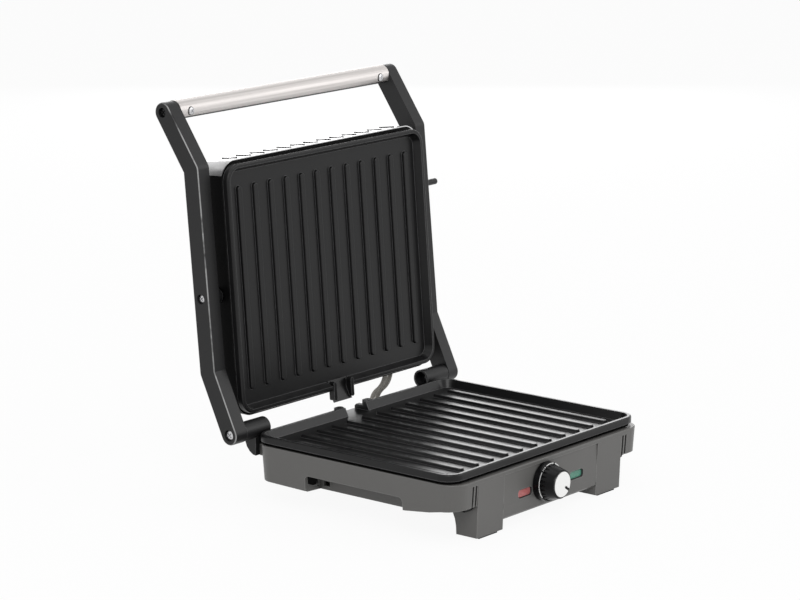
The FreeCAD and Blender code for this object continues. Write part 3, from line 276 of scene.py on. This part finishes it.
def brushed_metal(name, colour, shade, roughness, lines):
    """Sheet metal brushed in long lines along X."""
    finish = Finish(name)
    streak = finish.noise(1.0, 4.0, finish.stretched(lines))
    broad = finish.noise(1.0, 2.0, finish.stretched([part * 0.3 for part in lines]))
    tone = finish.mix((0.55 * streak + 0.45 * broad).step(0.3, 0.7), shade, colour)
    return finish.surface(tone, roughness + 0.16 * (streak - 0.5), 1.0, streak, 0.000015)


def slotted_sheet(name, colour, shade, roughness, lines):
    """Brushed sheet with painted shade beside other pieces and on the narrow walls of its punched slots."""
    finish = Finish(name)
    streak = finish.noise(1.0, 4.0, finish.stretched(lines))
    across, _, _ = finish.axes()
    facing_x, _, _ = finish.facing("True Normal")
    slot_wall = abs(facing_x).step(0.3, 0.7) * (1.0 - abs(across).step(0.124, 0.126))
    # Near other pieces the sheet goes dark grey: painted shade
    tone = finish.mix(finish.hollows(0.05, 0.2, 0.8), finish.mix(streak, shade, colour), (0.10, 0.10, 0.10))
    # The slots' side walls go near black: painted shade inside the slots
    slot_walls_shaded = finish.mix(slot_wall, tone, (0.02, 0.02, 0.02))
    return finish.surface(slot_walls_shaded, roughness + 0.16 * (streak - 0.5), 1.0, streak, 0.000015)


def spun_metal(name, colour, shade, roughness):
    """Turned metal with fine rings about the knob's axis."""
    finish = Finish(name)
    across, _, up = finish.axes()
    radius = ((across - KNOB_X * MM) ** 2.0 + (up - KNOB_Z * MM) ** 2.0) ** 0.5
    ring = finish.add("ShaderNodeTexNoise", {"noise_dimensions": "1D"}, {"W": radius * 5200.0, "Detail": 2.0})
    return finish.surface(finish.mix(ring, shade, colour), roughness + 0.1 * ring, 0.9, ring, 0.00001)


def plated_steel(name, colour, roughness):
    """Plated steel with scuffs and a cloudy tone."""
    finish = Finish(name)
    scuff = finish.noise(900.0, 4.0)
    cloud = finish.noise(160.0, 2.0)
    tone = finish.mix(cloud, [part * 0.78 for part in colour], colour)
    return finish.surface(tone, roughness + 0.16 * scuff, 1.0, scuff, 0.00001)


def lamp_lens(name, colour, deep):
    """Tinted lens with upright prisms moulded inside it."""
    finish = Finish(name)
    across, _, _ = finish.axes()
    prism_pitch = 1.6 * MM
    prism = (across * (2 * math.pi / prism_pitch)).math("SINE")
    glow = finish.noise(240.0, 2.0)
    return finish.surface(finish.mix(0.35 + 0.25 * prism + 0.3 * (glow - 0.5), deep, colour), 0.22, 0.0,
                          prism, 0.00012, Coat_Weight=0.5, Coat_Roughness=0.08)


def gloss_plastic(name, colour, roughness):
    """Polished moulding with faint ripples and dust."""
    finish = Finish(name)
    ripple = finish.noise(380.0, 2.0)
    dust = finish.noise(3200.0, 2.0)
    dusted = finish.mix(dust, colour, [part * 1.5 for part in colour])
    return finish.surface(dusted, roughness + 0.1 * ripple, 0.0, ripple, 0.00002, Specular_IOR_Level=0.14)


def soft_rubber():
    finish = Finish("soft_rubber")
    grain = finish.noise(1900.0, 4.0)
    return finish.surface(finish.mix(grain, (0.014, 0.014, 0.014), (0.03, 0.03, 0.03)), 0.72 + 0.14 * grain, 0.0,
                          grain, 0.00006)


def oxidised_sheath():
    """Heater sheath stained brown by heat."""
    finish = Finish("oxidised_sheath")
    stain = finish.noise(70.0, 4.0)
    grain = finish.noise(1400.0, 3.0)
    tone = finish.mix(stain.step(0.35, 0.7), (0.10, 0.095, 0.09), (0.20, 0.15, 0.10))
    return finish.surface(tone, 0.5 + 0.2 * grain, 0.8, grain, 0.00003)


def painted_shade_cloth():
    """Black cloth with a fine weave for the pieces of painted shade, which swallows light at every angle."""
    finish = Finish("painted_shade_cloth")
    across, _, up = finish.axes()
    wires = 9000.0
    weave = (across * wires).math("SINE") * (up * wires).math("SINE")
    tone = finish.mix(0.5 + 0.5 * weave, (0.010, 0.010, 0.010), (0.030, 0.030, 0.030))
    return finish.surface(tone, 0.9 + 0.05 * weave, 0.0, Specular_IOR_Level=0.0)


def fired_clay():
    finish = Finish("fired_clay")
    grain = finish.noise(1100.0, 4.0)
    return finish.surface(finish.mix(grain, (0.58, 0.57, 0.54), (0.74, 0.73, 0.70)), 0.5 + 0.2 * grain, 0.0,
                          grain, 0.00004)


def lamp_glass():
    finish = Finish("lamp_glass")
    swirl = finish.noise(300.0, 2.0)
    return finish.surface(finish.mix(swirl, (0.80, 0.74, 0.68), (0.90, 0.86, 0.82)), 0.06 + 0.06 * swirl, 0.0,
                          Transmission_Weight=0.6, IOR=1.5)


def print_white():
    finish = Finish("print_white")
    edge = finish.noise(4200.0, 2.0)
    return finish.surface(finish.mix(edge, (0.72, 0.72, 0.71), (0.86, 0.86, 0.85)), 0.42 + 0.1 * edge, 0.0,
                          edge, 0.00001)


def braided_sleeve():
    """Woven glass yarn: two sets of bands that cross over and under, on the strand's own map."""
    finish = Finish("braided_sleeve")
    around, along, _ = finish.split(finish.add("ShaderNodeTexCoord", {}, {}, out="UV"))
    first = (around + along).math("FRACT")
    second = (around - along).math("FRACT")
    yarn = finish.noise(2600.0, 3.0)
    gap = abs(first - 0.5).step(0.34, 0.5) + abs(second - 0.5).step(0.34, 0.5)
    tone = finish.mix(yarn, (0.31, 0.295, 0.265), (0.56, 0.54, 0.50))
    woven = finish.mix(gap * 0.5, tone, (0.06, 0.055, 0.05))
    return finish.surface(woven, 0.72 + 0.16 * yarn, 0.0, yarn, 0.00008)


coating = nonstick_coating()
# The last colour of each moulding is the painted highlight on its edges
grey_moulding = spark_textured("grey_moulding", (0.112, 0.110, 0.106), (0.100, 0.098, 0.094), 0.40, 0.000025,
                               0.4, (0.30, 0.295, 0.29))
black_moulding = spark_textured("black_moulding", (0.0105, 0.0105, 0.011), (0.007, 0.007, 0.0073), 0.40, 0.00003,
                                0.3, (0.17, 0.17, 0.172))
arm_moulding = arm_black()
# Blacker than black_moulding: painted shade for the lid casing's shadowed sides
casing_shaded_black = spark_textured("casing_shaded_black", (0.0032, 0.0032, 0.0034), (0.002, 0.002, 0.002), 0.5, 0.00003,
                              0.06, (0.05, 0.05, 0.05))
dark_core = spark_textured("dark_core", (0.015, 0.015, 0.015), (0.010, 0.010, 0.010), 0.5, 0.00003,
                           0.3, (0.03, 0.03, 0.03))
cover_metal = slotted_sheet("cover_metal", (0.79, 0.79, 0.79), (0.60, 0.60, 0.605), 0.30, (9.0, 1400.0, 1400.0))
bar_metal = brushed_metal("bar_metal", (0.72, 0.69, 0.675), (0.50, 0.475, 0.46), 0.50, (5.0, 480.0, 480.0))
sheet_metal = brushed_metal("sheet_metal", (0.76, 0.76, 0.76), (0.62, 0.62, 0.62), 0.28, (14.0, 900.0, 900.0))
face_metal = spun_metal("face_metal", (0.93, 0.93, 0.92), (0.80, 0.80, 0.79), 0.26)
screw_metal = plated_steel("screw_metal", (0.62, 0.62, 0.63), 0.22)
black_steel = plated_steel("black_steel", (0.035, 0.035, 0.036), 0.34)
knob_gloss = gloss_plastic("knob_gloss", (0.003, 0.003, 0.0033), 0.18)
red_lens = lamp_lens("red_lens", (0.66, 0.20, 0.19), (0.42, 0.10, 0.10))
green_lens = lamp_lens("green_lens", (0.10, 0.34, 0.24), (0.05, 0.21, 0.145))
rubber = soft_rubber()
heater_sheath = oxidised_sheath()
clay = fired_clay()
shade_black = painted_shade_cloth()
glass = lamp_glass()
white_print = print_white()
sleeve_yarn = braided_sleeve()

finish_of = {
    "lower_grill_plate": coating, "upper_grill_plate": coating,
    "lower_heater": heater_sheath, "upper_heater": heater_sheath,
    "lower_reflector": sheet_metal, "upper_reflector": sheet_metal,
    "base_housing": grey_moulding, "control_panel": grey_moulding,
    "lamp_lens_red": red_lens, "lamp_lens_green": green_lens, "neon_lamps": glass,
    "thermostat": clay, "thermostat_nut": screw_metal, "thermostat_shaft": screw_metal,
    "control_knob": knob_gloss, "knob_face": face_metal,
    "bottom_cover": grey_moulding, "foot_pads": rubber, "plate_screws": screw_metal,
    "cover_screws": screw_metal, "hinge_bracket_left": black_moulding, "hinge_bracket_right": black_moulding,
    "bracket_screws": screw_metal, "cord_gland": rubber, "terminal_block": clay, "thermal_fuse": screw_metal,
    "arm_left": arm_moulding, "arm_right": arm_moulding, "lock_tab": black_moulding,
    "hinge_pins": screw_metal, "float_pins": screw_metal, "arm_screws": black_steel,
    "handle_core": dark_core, "handle_cover": bar_metal, "handle_screws": screw_metal,
    "lid_casing": casing_shaded_black, "pivot_sleeves": black_moulding, "lid_screws": screw_metal,
    "lid_cover": cover_metal, "lid_lead": sleeve_yarn, "lead_grommet": rubber,
}
for name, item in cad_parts.items():
    item.data.materials.clear()
    item.data.materials.append(finish_of[name])


# Repeated pieces by geometry nodes
class Pattern:
    """A geometry node group with named inputs for its sizes."""

    def __init__(self, name, inputs):
        self.group = bpy.data.node_groups.new(name, "GeometryNodeTree")
        self.group.interface.new_socket("Geometry", in_out="INPUT", socket_type="NodeSocketGeometry")
        for label, kind in inputs:
            self.group.interface.new_socket(label, in_out="INPUT", socket_type="NodeSocket" + kind)
        self.group.interface.new_socket("Geometry", in_out="OUTPUT", socket_type="NodeSocketGeometry")
        self.tree = Tree(self.group)
        self.given = self.tree.nodes.new("NodeGroupInput")

    def input(self, name):
        return Field(self.tree, self.given.outputs[name])

    def close(self, piece, **sockets):
        """The finished group: the piece on every point, realised and painted."""
        cloud = self.tree.add("GeometryNodeMeshToPoints", {}, {"Mesh": self.input("Geometry")})
        placed = self.tree.add("GeometryNodeInstanceOnPoints", {}, {"Points": cloud, "Instance": piece, **sockets})
        real = self.tree.add("GeometryNodeRealizeInstances", {}, {0: placed})
        painted = self.tree.add("GeometryNodeSetMaterial", {},
                                {"Geometry": real, "Material": self.input("Finish")})
        self.tree.add("NodeGroupOutput", {}, {0: painted})
        return self.group


def grown(name, points, pattern, sizes):
    """A plain mesh object from a pattern on the given points, in millimetres."""
    seed = bpy.data.meshes.new(name + "_points")
    seed.from_pydata([tuple(point * MM) for point in points], [], [])
    item = bpy.data.objects.new(name, seed)
    bpy.context.scene.collection.objects.link(item)
    modifier = item.modifiers.new("pattern", "NODES")
    modifier.node_group = pattern
    for socket in pattern.interface.items_tree:
        if socket.in_out == "INPUT" and socket.name in sizes:
            modifier[socket.identifier] = sizes[socket.name]
    bpy.context.view_layer.update()
    made = bpy.data.meshes.new_from_object(item.evaluated_get(bpy.context.evaluated_depsgraph_get()))
    item.modifiers.remove(modifier)
    item.data = made
    made.name = name
    bpy.data.meshes.remove(seed)
    return item


def screw_pattern():
    """Domed cross-head screws whose crowns lie at the points, with a shank behind each."""
    pattern = Pattern("cross_head_screws", [("Head Radius", "Float"), ("Head Height", "Float"),
                                            ("Shank Radius", "Float"), ("Shank Length", "Float"),
                                            ("Axis", "Vector"), ("Finish", "Material")])
    tree = pattern.tree
    radius, height = pattern.input("Head Radius"), pattern.input("Head Height")
    dome = tree.add("GeometryNodeMeshCylinder", {}, {"Vertices": 40, "Side Segments": 2, "Fill Segments": 7,
                                                     "Radius": radius, "Depth": height}, out="Mesh")
    spot = tree.add("ShaderNodeSeparateXYZ", {}, {0: tree.add("GeometryNodeInputPosition", {}, {})})
    reach = (spot.out("X") ** 2.0 + spot.out("Y") ** 2.0) / (radius * radius)
    top = (spot.out("Z") / height).math("GREATER_THAN", 0.4)
    drop = tree.add("ShaderNodeCombineXYZ", {}, {"Z": height * -0.5 - top * height * 0.42 * reach ** 1.6})
    dome = tree.add("GeometryNodeSetPosition", {}, {"Geometry": dome, "Offset": drop})
    for wide, thin in ((1.16, 0.24), (0.24, 1.16)):
        size = tree.add("ShaderNodeCombineXYZ", {}, {"X": radius * wide, "Y": radius * thin, "Z": height * 0.9})
        bar = tree.add("GeometryNodeMeshCube", {}, {"Size": size}, out="Mesh")
        dome = tree.add("GeometryNodeMeshBoolean", {"operation": "DIFFERENCE"}, {"Mesh 1": dome, "Mesh 2": bar})
    shank = tree.add("GeometryNodeMeshCylinder", {}, {"Vertices": 24, "Radius": pattern.input("Shank Radius"),
                                                      "Depth": pattern.input("Shank Length")}, out="Mesh")
    sunk = tree.add("ShaderNodeCombineXYZ", {}, {"Z": height * -0.95 - pattern.input("Shank Length") * 0.5})
    shank = tree.add("GeometryNodeTransform", {}, {"Geometry": shank, "Translation": sunk})
    whole = tree.add("GeometryNodeJoinGeometry", {}, {0: dome})
    tree.links.new(shank.socket, whole.socket.node.inputs[0])
    aim = tree.add("FunctionNodeAlignRotationToVector", {"axis": "Z"}, {"Vector": pattern.input("Axis")})
    spin = tree.add("FunctionNodeRandomValue", {"data_type": "FLOAT"}, {2: 0.2, 3: 1.4, "Seed": 5}, out=1)
    euler = tree.add("ShaderNodeCombineXYZ", {}, {"Z": spin})
    twist = tree.add("FunctionNodeEulerToRotation", {}, {0: euler})
    turned = tree.add("FunctionNodeRotateRotation", {"rotation_space": "LOCAL"}, {0: aim, 1: twist})
    return pattern.close(whole, Rotation=turned)


def dot_pattern():
    """Printed dots at the points, each a little larger than the one before it."""
    pattern = Pattern("printed_dots", [("Dot Radius", "Float"), ("Growth", "Float"), ("Thickness", "Float"),
                                       ("Finish", "Material")])
    tree = pattern.tree
    dot = tree.add("GeometryNodeMeshCylinder", {}, {"Vertices": 18, "Radius": pattern.input("Dot Radius"),
                                                    "Depth": pattern.input("Thickness")}, out="Mesh")
    upright = tree.add("GeometryNodeTransform", {}, {"Geometry": dot, "Rotation": (math.pi / 2, 0, 0)})
    size = 1.0 + tree.add("GeometryNodeInputIndex", {}, {}) * pattern.input("Growth")
    scale = tree.add("ShaderNodeCombineXYZ", {}, {"X": size, "Y": 1.0, "Z": size})
    return pattern.close(upright, Scale=scale)


def repeat_pattern():
    """Copies of one piece at the points."""
    pattern = Pattern("repeated_piece", [("Piece", "Object"), ("Finish", "Material")])
    piece = pattern.tree.add("GeometryNodeObjectInfo", {}, {"Object": pattern.input("Piece")}, out="Geometry")
    return pattern.close(piece)


screws = screw_pattern()
dots = dot_pattern()
repeats = repeat_pattern()


def fit_screws(node, points, axis, head, shank, finish):
    """Domed screws in place of a node of plain ones; axis points out of the heads."""
    return grown(node + "_crowned", points, screws,
                 {"Head Radius": head[0] * MM, "Head Height": head[1] * MM, "Shank Radius": shank[0] * MM,
                  "Shank Length": shank[1] * MM, "Axis": axis, "Finish": finish})


def dropped(item):
    """Remove a helper object with its mesh."""
    mesh = item.data
    bpy.data.objects.remove(item)
    bpy.data.meshes.remove(mesh)


def join_meshes(name, items, finish):
    """One piece from several on one body."""
    joined = bpy.data.meshes.new(name)
    corners, faces = [], []
    for item in items:
        first = len(corners)
        corners += [vertex.co[:] for vertex in item.data.vertices]
        faces += [[first + index for index in face.vertices] for face in item.data.polygons]
        dropped(item)
    joined.from_pydata(corners, [], faces)
    return shown(name, joined, finish)


def arm_pins(node, along, back, out, head, shank, finish):
    """Pins or screws that face outwards in both arms."""
    sides = [fit_screws("%s_%d" % (node, side), [on_lid(side * out, along, back)], (side, 0, 0), head, shank,
                        finish) for _, side in SIDES]
    fitted(join_meshes(node + "_crowned", sides, finish), "arm_frame", "bright_steel", node)


# Each head and shank is a radius and a length
arm_pins("hinge_pins", 0, 0, 172.8, (5.4, 3.3), (4.0, 35.0), screw_metal)
arm_pins("float_pins", 133, 24.6, 172.3, (4.6, 2.8), (3.0, 24.0), screw_metal)
arm_pins("arm_screws", HANDLE_ALONG, HANDLE_BACK, 172.3, (4.6, 2.8), (2.0, 22.0), black_steel)
for node, body, points, axis, head, shank in (
        ("handle_screws", "arm_frame",
         [on_lid(side * GRIP_SCREW_X, GRIP_SCREW_ALONG, GRIP_SCREW_BACK) for _, side in SIDES],
         lid_direction(0, -1), (3.6, 1.4), (1.6, 9.0)),
        ("bracket_screws", "base", [Vector((side * x, 132.1, 50)) for _, side in SIDES for x in (112, 122)],
         (0, 1, 0), (2.8, 1.6), (1.5, 11.0)),
        ("cover_screws", "base", [Vector((x, y, 36)) for x in (-141, 141) for y in (-77, 75)],
         (0, 0, -1), (3.0, 2.0), (1.4, 10.0))):
    fitted(fit_screws(node, points, axis, head, shank, screw_metal), body, "bright_steel", node)


# Shapes for small pieces
def around_knob(radius, degrees, y):
    """A point about the knob's axis."""
    angle = math.radians(degrees)
    return KNOB_X + radius * math.cos(angle), y, KNOB_Z + radius * math.sin(angle)


def ring_arcs(name, spans, inner, outer, front, thick):
    """Flat arcs about the knob's axis, as closed strips."""
    corners, faces = [], []
    for start, end in spans:
        steps = max(6, int(abs(end - start) / 3))
        first = len(corners)
        for i in range(steps + 1):
            degrees = start + (end - start) * i / steps
            corners += [around_knob(radius, degrees, y) for y in (front, front - thick) for radius in (inner, outer)]
        for i in range(steps):
            a = first + 4 * i
            b = a + 4
            faces += [(a + 2, a + 3, b + 3, b + 2), (a + 1, a, b, b + 1), (a, a + 2, b + 2, b),
                      (a + 3, a + 1, b + 1, b + 3)]
        last = first + 4 * steps
        faces += [(first, first + 1, first + 3, first + 2), (last + 2, last + 3, last + 1, last)]
    mesh = bpy.data.meshes.new(name)
    mesh.from_pydata([[part * MM for part in corner] for corner in corners], [], faces)
    return shown(name, mesh, white_print)


def lofted(name, loops, finish, ring=False):
    """A solid skin through matching loops of corners, in millimetres; a ring joins its last loop to the first."""
    count = len(loops[0])
    shape = bmesh.new()
    rows = [[shape.verts.new([part * MM for part in corner]) for corner in loop] for loop in loops]
    for row, after in zip(rows, rows[1:] + rows[:1] if ring else rows[1:]):
        for k in range(count):
            beside = (k + 1) % count
            shape.faces.new((row[k], row[beside], after[beside], after[k]))
    if not ring:
        shape.faces.new(rows[0])
        shape.faces.new(rows[-1])
    bmesh.ops.recalc_face_normals(shape, faces=shape.faces)
    mesh = bpy.data.meshes.new(name)
    shape.to_mesh(mesh)
    shape.free()
    return shown(name, mesh, finish)


def rounded_frame(x, y, z, half_w, half_h, radius):
    """Corners of an upright rounded rectangle, anticlockwise from the front."""
    points = []
    for side, top, first in ((1, 1, 0), (-1, 1, 90), (-1, -1, 180), (1, -1, 270)):
        for step in range(7):
            angle = math.radians(first + 15 * step)
            points.append((x + side * (half_w - radius) + radius * math.cos(angle), y,
                           z + top * (half_h - radius) + radius * math.sin(angle)))
    return points


def capsule(near, far, radius):
    """Corners of a flat capsule as (along, across), with its round ends about near and far."""
    corners = []
    for step in range(24):
        turn = math.radians(15 * step)
        corners.append(((far if math.cos(turn) > 0 else near) + radius * math.cos(turn), radius * math.sin(turn)))
    return corners


def pointer_insert():
    """Black insert in the face's notch, with a raised middle."""
    angle = math.radians(-36)
    ahead = Vector((math.cos(angle), 0, math.sin(angle)))
    side = Vector((-math.sin(angle), 0, math.cos(angle)))
    loops = [[ahead * along + side * across + Vector((KNOB_X, y, KNOB_Z)) for along, across in capsule(7.4, 11.5, grow)]
             for grow, y in ((1.2, -147.95), (1.2, -148.30), (0.9, -148.36), (0.35, -148.39))]
    return lofted("pointer_insert", loops, knob_gloss)


def slot_strip():
    """A dark strip for one slot of the lid cover, standing a little above the sheet: painted shade for the slot's dark
    inside.
    """
    loops = []
    for lift, shrink in ((-0.8, 0.1), (0.7, 0.1), (0.95, 0.4)):
        loops.append([on_lid(across, COVER_ALONG - (back - COVER_BACK) * COVER_TAPER + lift, back)
                      for back, across in capsule(SLOT_NEAR, SLOT_FAR, SLOT_R - shrink)])
    return lofted("slot_strip", loops, shade_black)


def screw_shade_ring(name, x):
    """A thin dark ring that follows the handle's round bar about one screw: painted shade about its head."""
    loops = []
    for radius, lift in ((3.5, -0.5), (3.5, 0.1), (3.9, 0.2), (4.3, 0.1), (4.3, -0.5)):
        loop = []
        for step in range(32):
            turn = math.radians(11.25 * step)
            along = GRIP_SCREW_ALONG + radius * math.sin(turn)
            back = HANDLE_BACK - math.sqrt(HANDLE_R ** 2 - (along - HANDLE_ALONG) ** 2) - lift
            loop.append(on_lid(x + radius * math.cos(turn), along, back))
        loops.append(loop)
    return lofted(name, loops, shade_black, ring=True)


# Printed dots on the knob's skirt that grow from one to the next
spots = [Vector(around_knob(18.2, degrees, SKIRT_Y + 0.01)) for degrees in (131, 125.5, 119)]
fitted(grown("skirt_dots", spots, dots, {"Dot Radius": 0.5 * MM, "Growth": 0.25, "Thickness": 0.12 * MM,
                                         "Finish": white_print}), "knob", "face_silver")

# Black soft frames in the lamp windows: painted shade at the lenses' recessed edges, by depth and growth
LENS_SHADE = ((-125.05, 0.35), (-126.3, 0.4), (-126.6, 0.65), (-126.3, 0.88), (-125.05, 0.9))
for label, x in (("red", -LENS_X), ("green", LENS_X)):
    frames = [rounded_frame(x, y, LENS_Z, 10.0 + grow, 3.4 + grow, 2.5 + grow) for y, grow in LENS_SHADE]
    fitted(lofted("lens_seal_" + label, frames, rubber, ring=True), "base", "rubber_black")

fitted(pointer_insert(), "knob", "gloss_black")

# Dark strips in the slots of the lid cover's front wall: painted shade for the dark inside of the slots
shade_strip = slot_strip()
slot_shading = grown("slot_gauze", [Vector((x, 0, 0)) for x in SLOT_XS], repeats, {"Piece": shade_strip, "Finish": shade_black})
dropped(shade_strip)
fitted(slot_shading, "lid", "black_plastic")

# Dark rings about the handle's screws: painted shade about their heads
for label, side in SIDES:
    fitted(screw_shade_ring("screw_seat_" + label, side * GRIP_SCREW_X), "arm_frame", "black_plastic")

# Dark sheets behind the windows in the side grips' end walls, bent inwards at their rear: painted shade for the dark
# inside of the grips
SHADE = [(147.0, 61.3), (128.0, 61.3), (126.0, 64.0), (126.0, 76.0), (126.6, 76.0), (126.6, 64.4), (128.3, 62.0),
         (147.0, 62.0)]
for label, side in SIDES:
    loops = [[(side * x, y, z) for x, y in SHADE] for z in (24.5, 36.5)]
    fitted(lofted("grip_shade_" + label, loops, shade_black), "base", "black_plastic")

# Dark sheets behind the front vents, folded at their foot: painted shade for the dark inside of the vents
VENT_SHADE = [(-121.6, 55.5), (-121.6, 30.5), (-119.4, 28.4), (-104, 28.4), (-104, 29.2), (-119.0, 29.2),
          (-120.8, 31.0), (-120.8, 55.5)]
for label, side in SIDES:
    loops = [[(side * x, y, z) for y, z in VENT_SHADE] for x in (116, 125.5)]
    fitted(lofted("vent_baffle_" + label, loops, dark_core), "base", "black_plastic")

# Printed arcs on the knob's skirt, from and to in degrees
fitted(ring_arcs("skirt_ring", [(22, 68), (75, 112), (138, 226)], 17.7, 18.7, SKIRT_Y + 0.05, 0.12),
       "knob", "face_silver")


# Braided lead pair between base and lid
def smooth_route(name, points):
    """Points along a smooth line that the route's control points guide, in metres."""
    curve = bpy.data.curves.new(name, "CURVE")
    curve.dimensions = "3D"
    spline = curve.splines.new("NURBS")
    spline.points.add(len(points) - 1)
    for point, place in zip(spline.points, points):
        point.co = (*(Vector(place) * MM), 1.0)
    spline.order_u = 3
    spline.use_endpoint_u = True
    spline.resolution_u = 22
    guide = bpy.data.objects.new(name, curve)
    bpy.context.scene.collection.objects.link(guide)
    bpy.context.view_layer.update()
    line = bpy.data.meshes.new_from_object(guide.evaluated_get(bpy.context.evaluated_depsgraph_get()))
    places = [vertex.co.copy() for vertex in line.vertices]
    bpy.data.objects.remove(guide)
    bpy.data.curves.remove(curve)
    bpy.data.meshes.remove(line)
    return places


def braided_strand(name, places, first, last, radius, bands, finish):
    """A tube along part of the places whose yarn bands rise and dip, with a map that follows the bands."""
    sides = 40
    corners, faces, maps = [], [], []
    length = 0.0
    across = Vector((1, 0, 0))
    for i, place in enumerate(places):
        ahead = (places[min(i + 1, len(places) - 1)] - places[max(i - 1, 0)]).normalized()
        out = ahead.cross(across).normalized()
        if i:
            length += (place - places[i - 1]).length
        if not first <= i <= last:
            continue
        along = length / (2 * math.pi * radius) * bands
        for k in range(sides):
            around = k / sides * bands
            crest = math.sin(math.pi * (around + along)) ** 2 * math.sin(math.pi * (around - along)) ** 2
            size = radius * (0.93 + 0.07 * crest)
            angle = 2 * math.pi * k / sides
            corners.append(place + (across * math.cos(angle) + out * math.sin(angle)) * size)
        maps.append(along)
    rings = len(maps)
    for i in range(rings - 1):
        for k in range(sides):
            a, b = i * sides + k, i * sides + (k + 1) % sides
            faces.append((a, a + sides, b + sides, b))
    faces.append(tuple(range(sides)))
    faces.append(tuple((rings - 1) * sides + k for k in reversed(range(sides))))
    mesh = bpy.data.meshes.new(name)
    mesh.from_pydata(corners, [], faces)
    layer = mesh.uv_layers.new(name="braid")
    for face in mesh.polygons:
        seam = any(corner % sides == sides - 1 for corner in face.vertices)
        for loop in face.loop_indices:
            ring, k = divmod(mesh.loops[loop].vertex_index, sides)
            layer.data[loop].uv = ((1.0 if seam and k == 0 else k / sides) * bands, maps[ring])
        face.use_smooth = len(face.vertices) == 4
    item = shown(name, mesh, finish)
    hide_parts("lid_lead")
    return item


for index, x in enumerate(LEAD_XS):
    line = smooth_route("lead_line_%d" % index, [(x, y, z) for y, z in LEAD_ROUTE])
    split = min(i for i, place in enumerate(line) if place.z > TAIL_Z * MM)
    strand = braided_strand("lead_strand_%d" % index, line, 0, split, LEAD_R * MM, BRAID_BANDS, sleeve_yarn)
    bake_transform(strand)
    tail = braided_strand("lead_tail_%d" % index, line, split, len(line) - 1, LEAD_R * MM, BRAID_BANDS, sleeve_yarn)
    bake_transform(tail)
    part = line[:split + 1]


# Stage: camera, floor, soft studio light
def aimed(item, place, direction):
    """Put a camera or lamp at a place, looking along a direction, into the scene."""
    item.location = place
    item.rotation_mode = "QUATERNION"
    item.rotation_quaternion = direction.to_track_quat("-Z", "Y")
    bpy.context.scene.collection.objects.link(item)


camera = bpy.data.cameras.new("camera")
camera.sensor_width = 36.0
camera.lens = 139.5
camera.clip_end = 100.0
watcher = bpy.data.objects.new("camera", camera)
turn, rise = math.radians(-50.7), math.radians(12.45)
behind = Vector((math.sin(turn) * math.cos(rise), -math.cos(turn) * math.cos(rise), math.sin(rise)))
aimed(watcher, (-2.3198, -1.8375, 0.8474), -behind)
bpy.context.scene.camera = watcher

paper = Finish("pale_paper")
matt = paper.add("ShaderNodeBsdfDiffuse", {}, {"Color": (0.8, 0.8, 0.8, 1.0)})
bright = paper.add("ShaderNodeEmission", {}, {"Color": (1.0, 1.0, 1.0, 1.0), "Strength": 1.0})
paper.add("ShaderNodeOutputMaterial", {}, {
    "Surface": paper.add("ShaderNodeMixShader", {}, {0: paper.straight_rays() * 0.93, 1: matt, 2: bright})})
floor_mesh = bpy.data.meshes.new("floor")
floor_mesh.from_pydata([(-30, -30, 0), (30, -30, 0), (30, 30, 0), (-30, 30, 0)], [], [(0, 1, 2, 3)])
floor = shown("floor", floor_mesh, paper.material)

world = bpy.data.worlds.new("studio")
world.use_nodes = True
bpy.context.scene.world = world
sky = Tree(world.node_tree)
sky.add("ShaderNodeOutputWorld", {}, {"Surface": sky.add("ShaderNodeBackground", {}, {
    "Color": (1.0, 1.0, 1.0, 1.0), "Strength": 0.62 + 0.38 * sky.straight_rays()})})


def softbox(name, place, aim, size, power):
    """A square lamp that the camera doesn't see."""
    lamp = bpy.data.lights.new(name, "AREA")
    lamp.shape = "SQUARE"
    lamp.size = size
    lamp.energy = power
    item = bpy.data.objects.new(name, lamp)
    item.visible_camera = False
    aimed(item, place, Vector(aim) - Vector(place))


softbox("key", (-1.9, -1.6, 2.1), (0, 0, 0.15), 1.4, 34.0)
softbox("fill", (1.6, -2.0, 1.4), (0, 0, 0.1), 1.6, 16.0)
softbox("top", (-0.2, 0.7, 2.3), (0, 0.1, 0.2), 1.5, 7.0)
softbox("rim", (1.95, 1.65, 0.72), (0, 0, 0.08), 1.2, 13.0)

bpy.context.scene.view_settings.view_transform = "Standard"
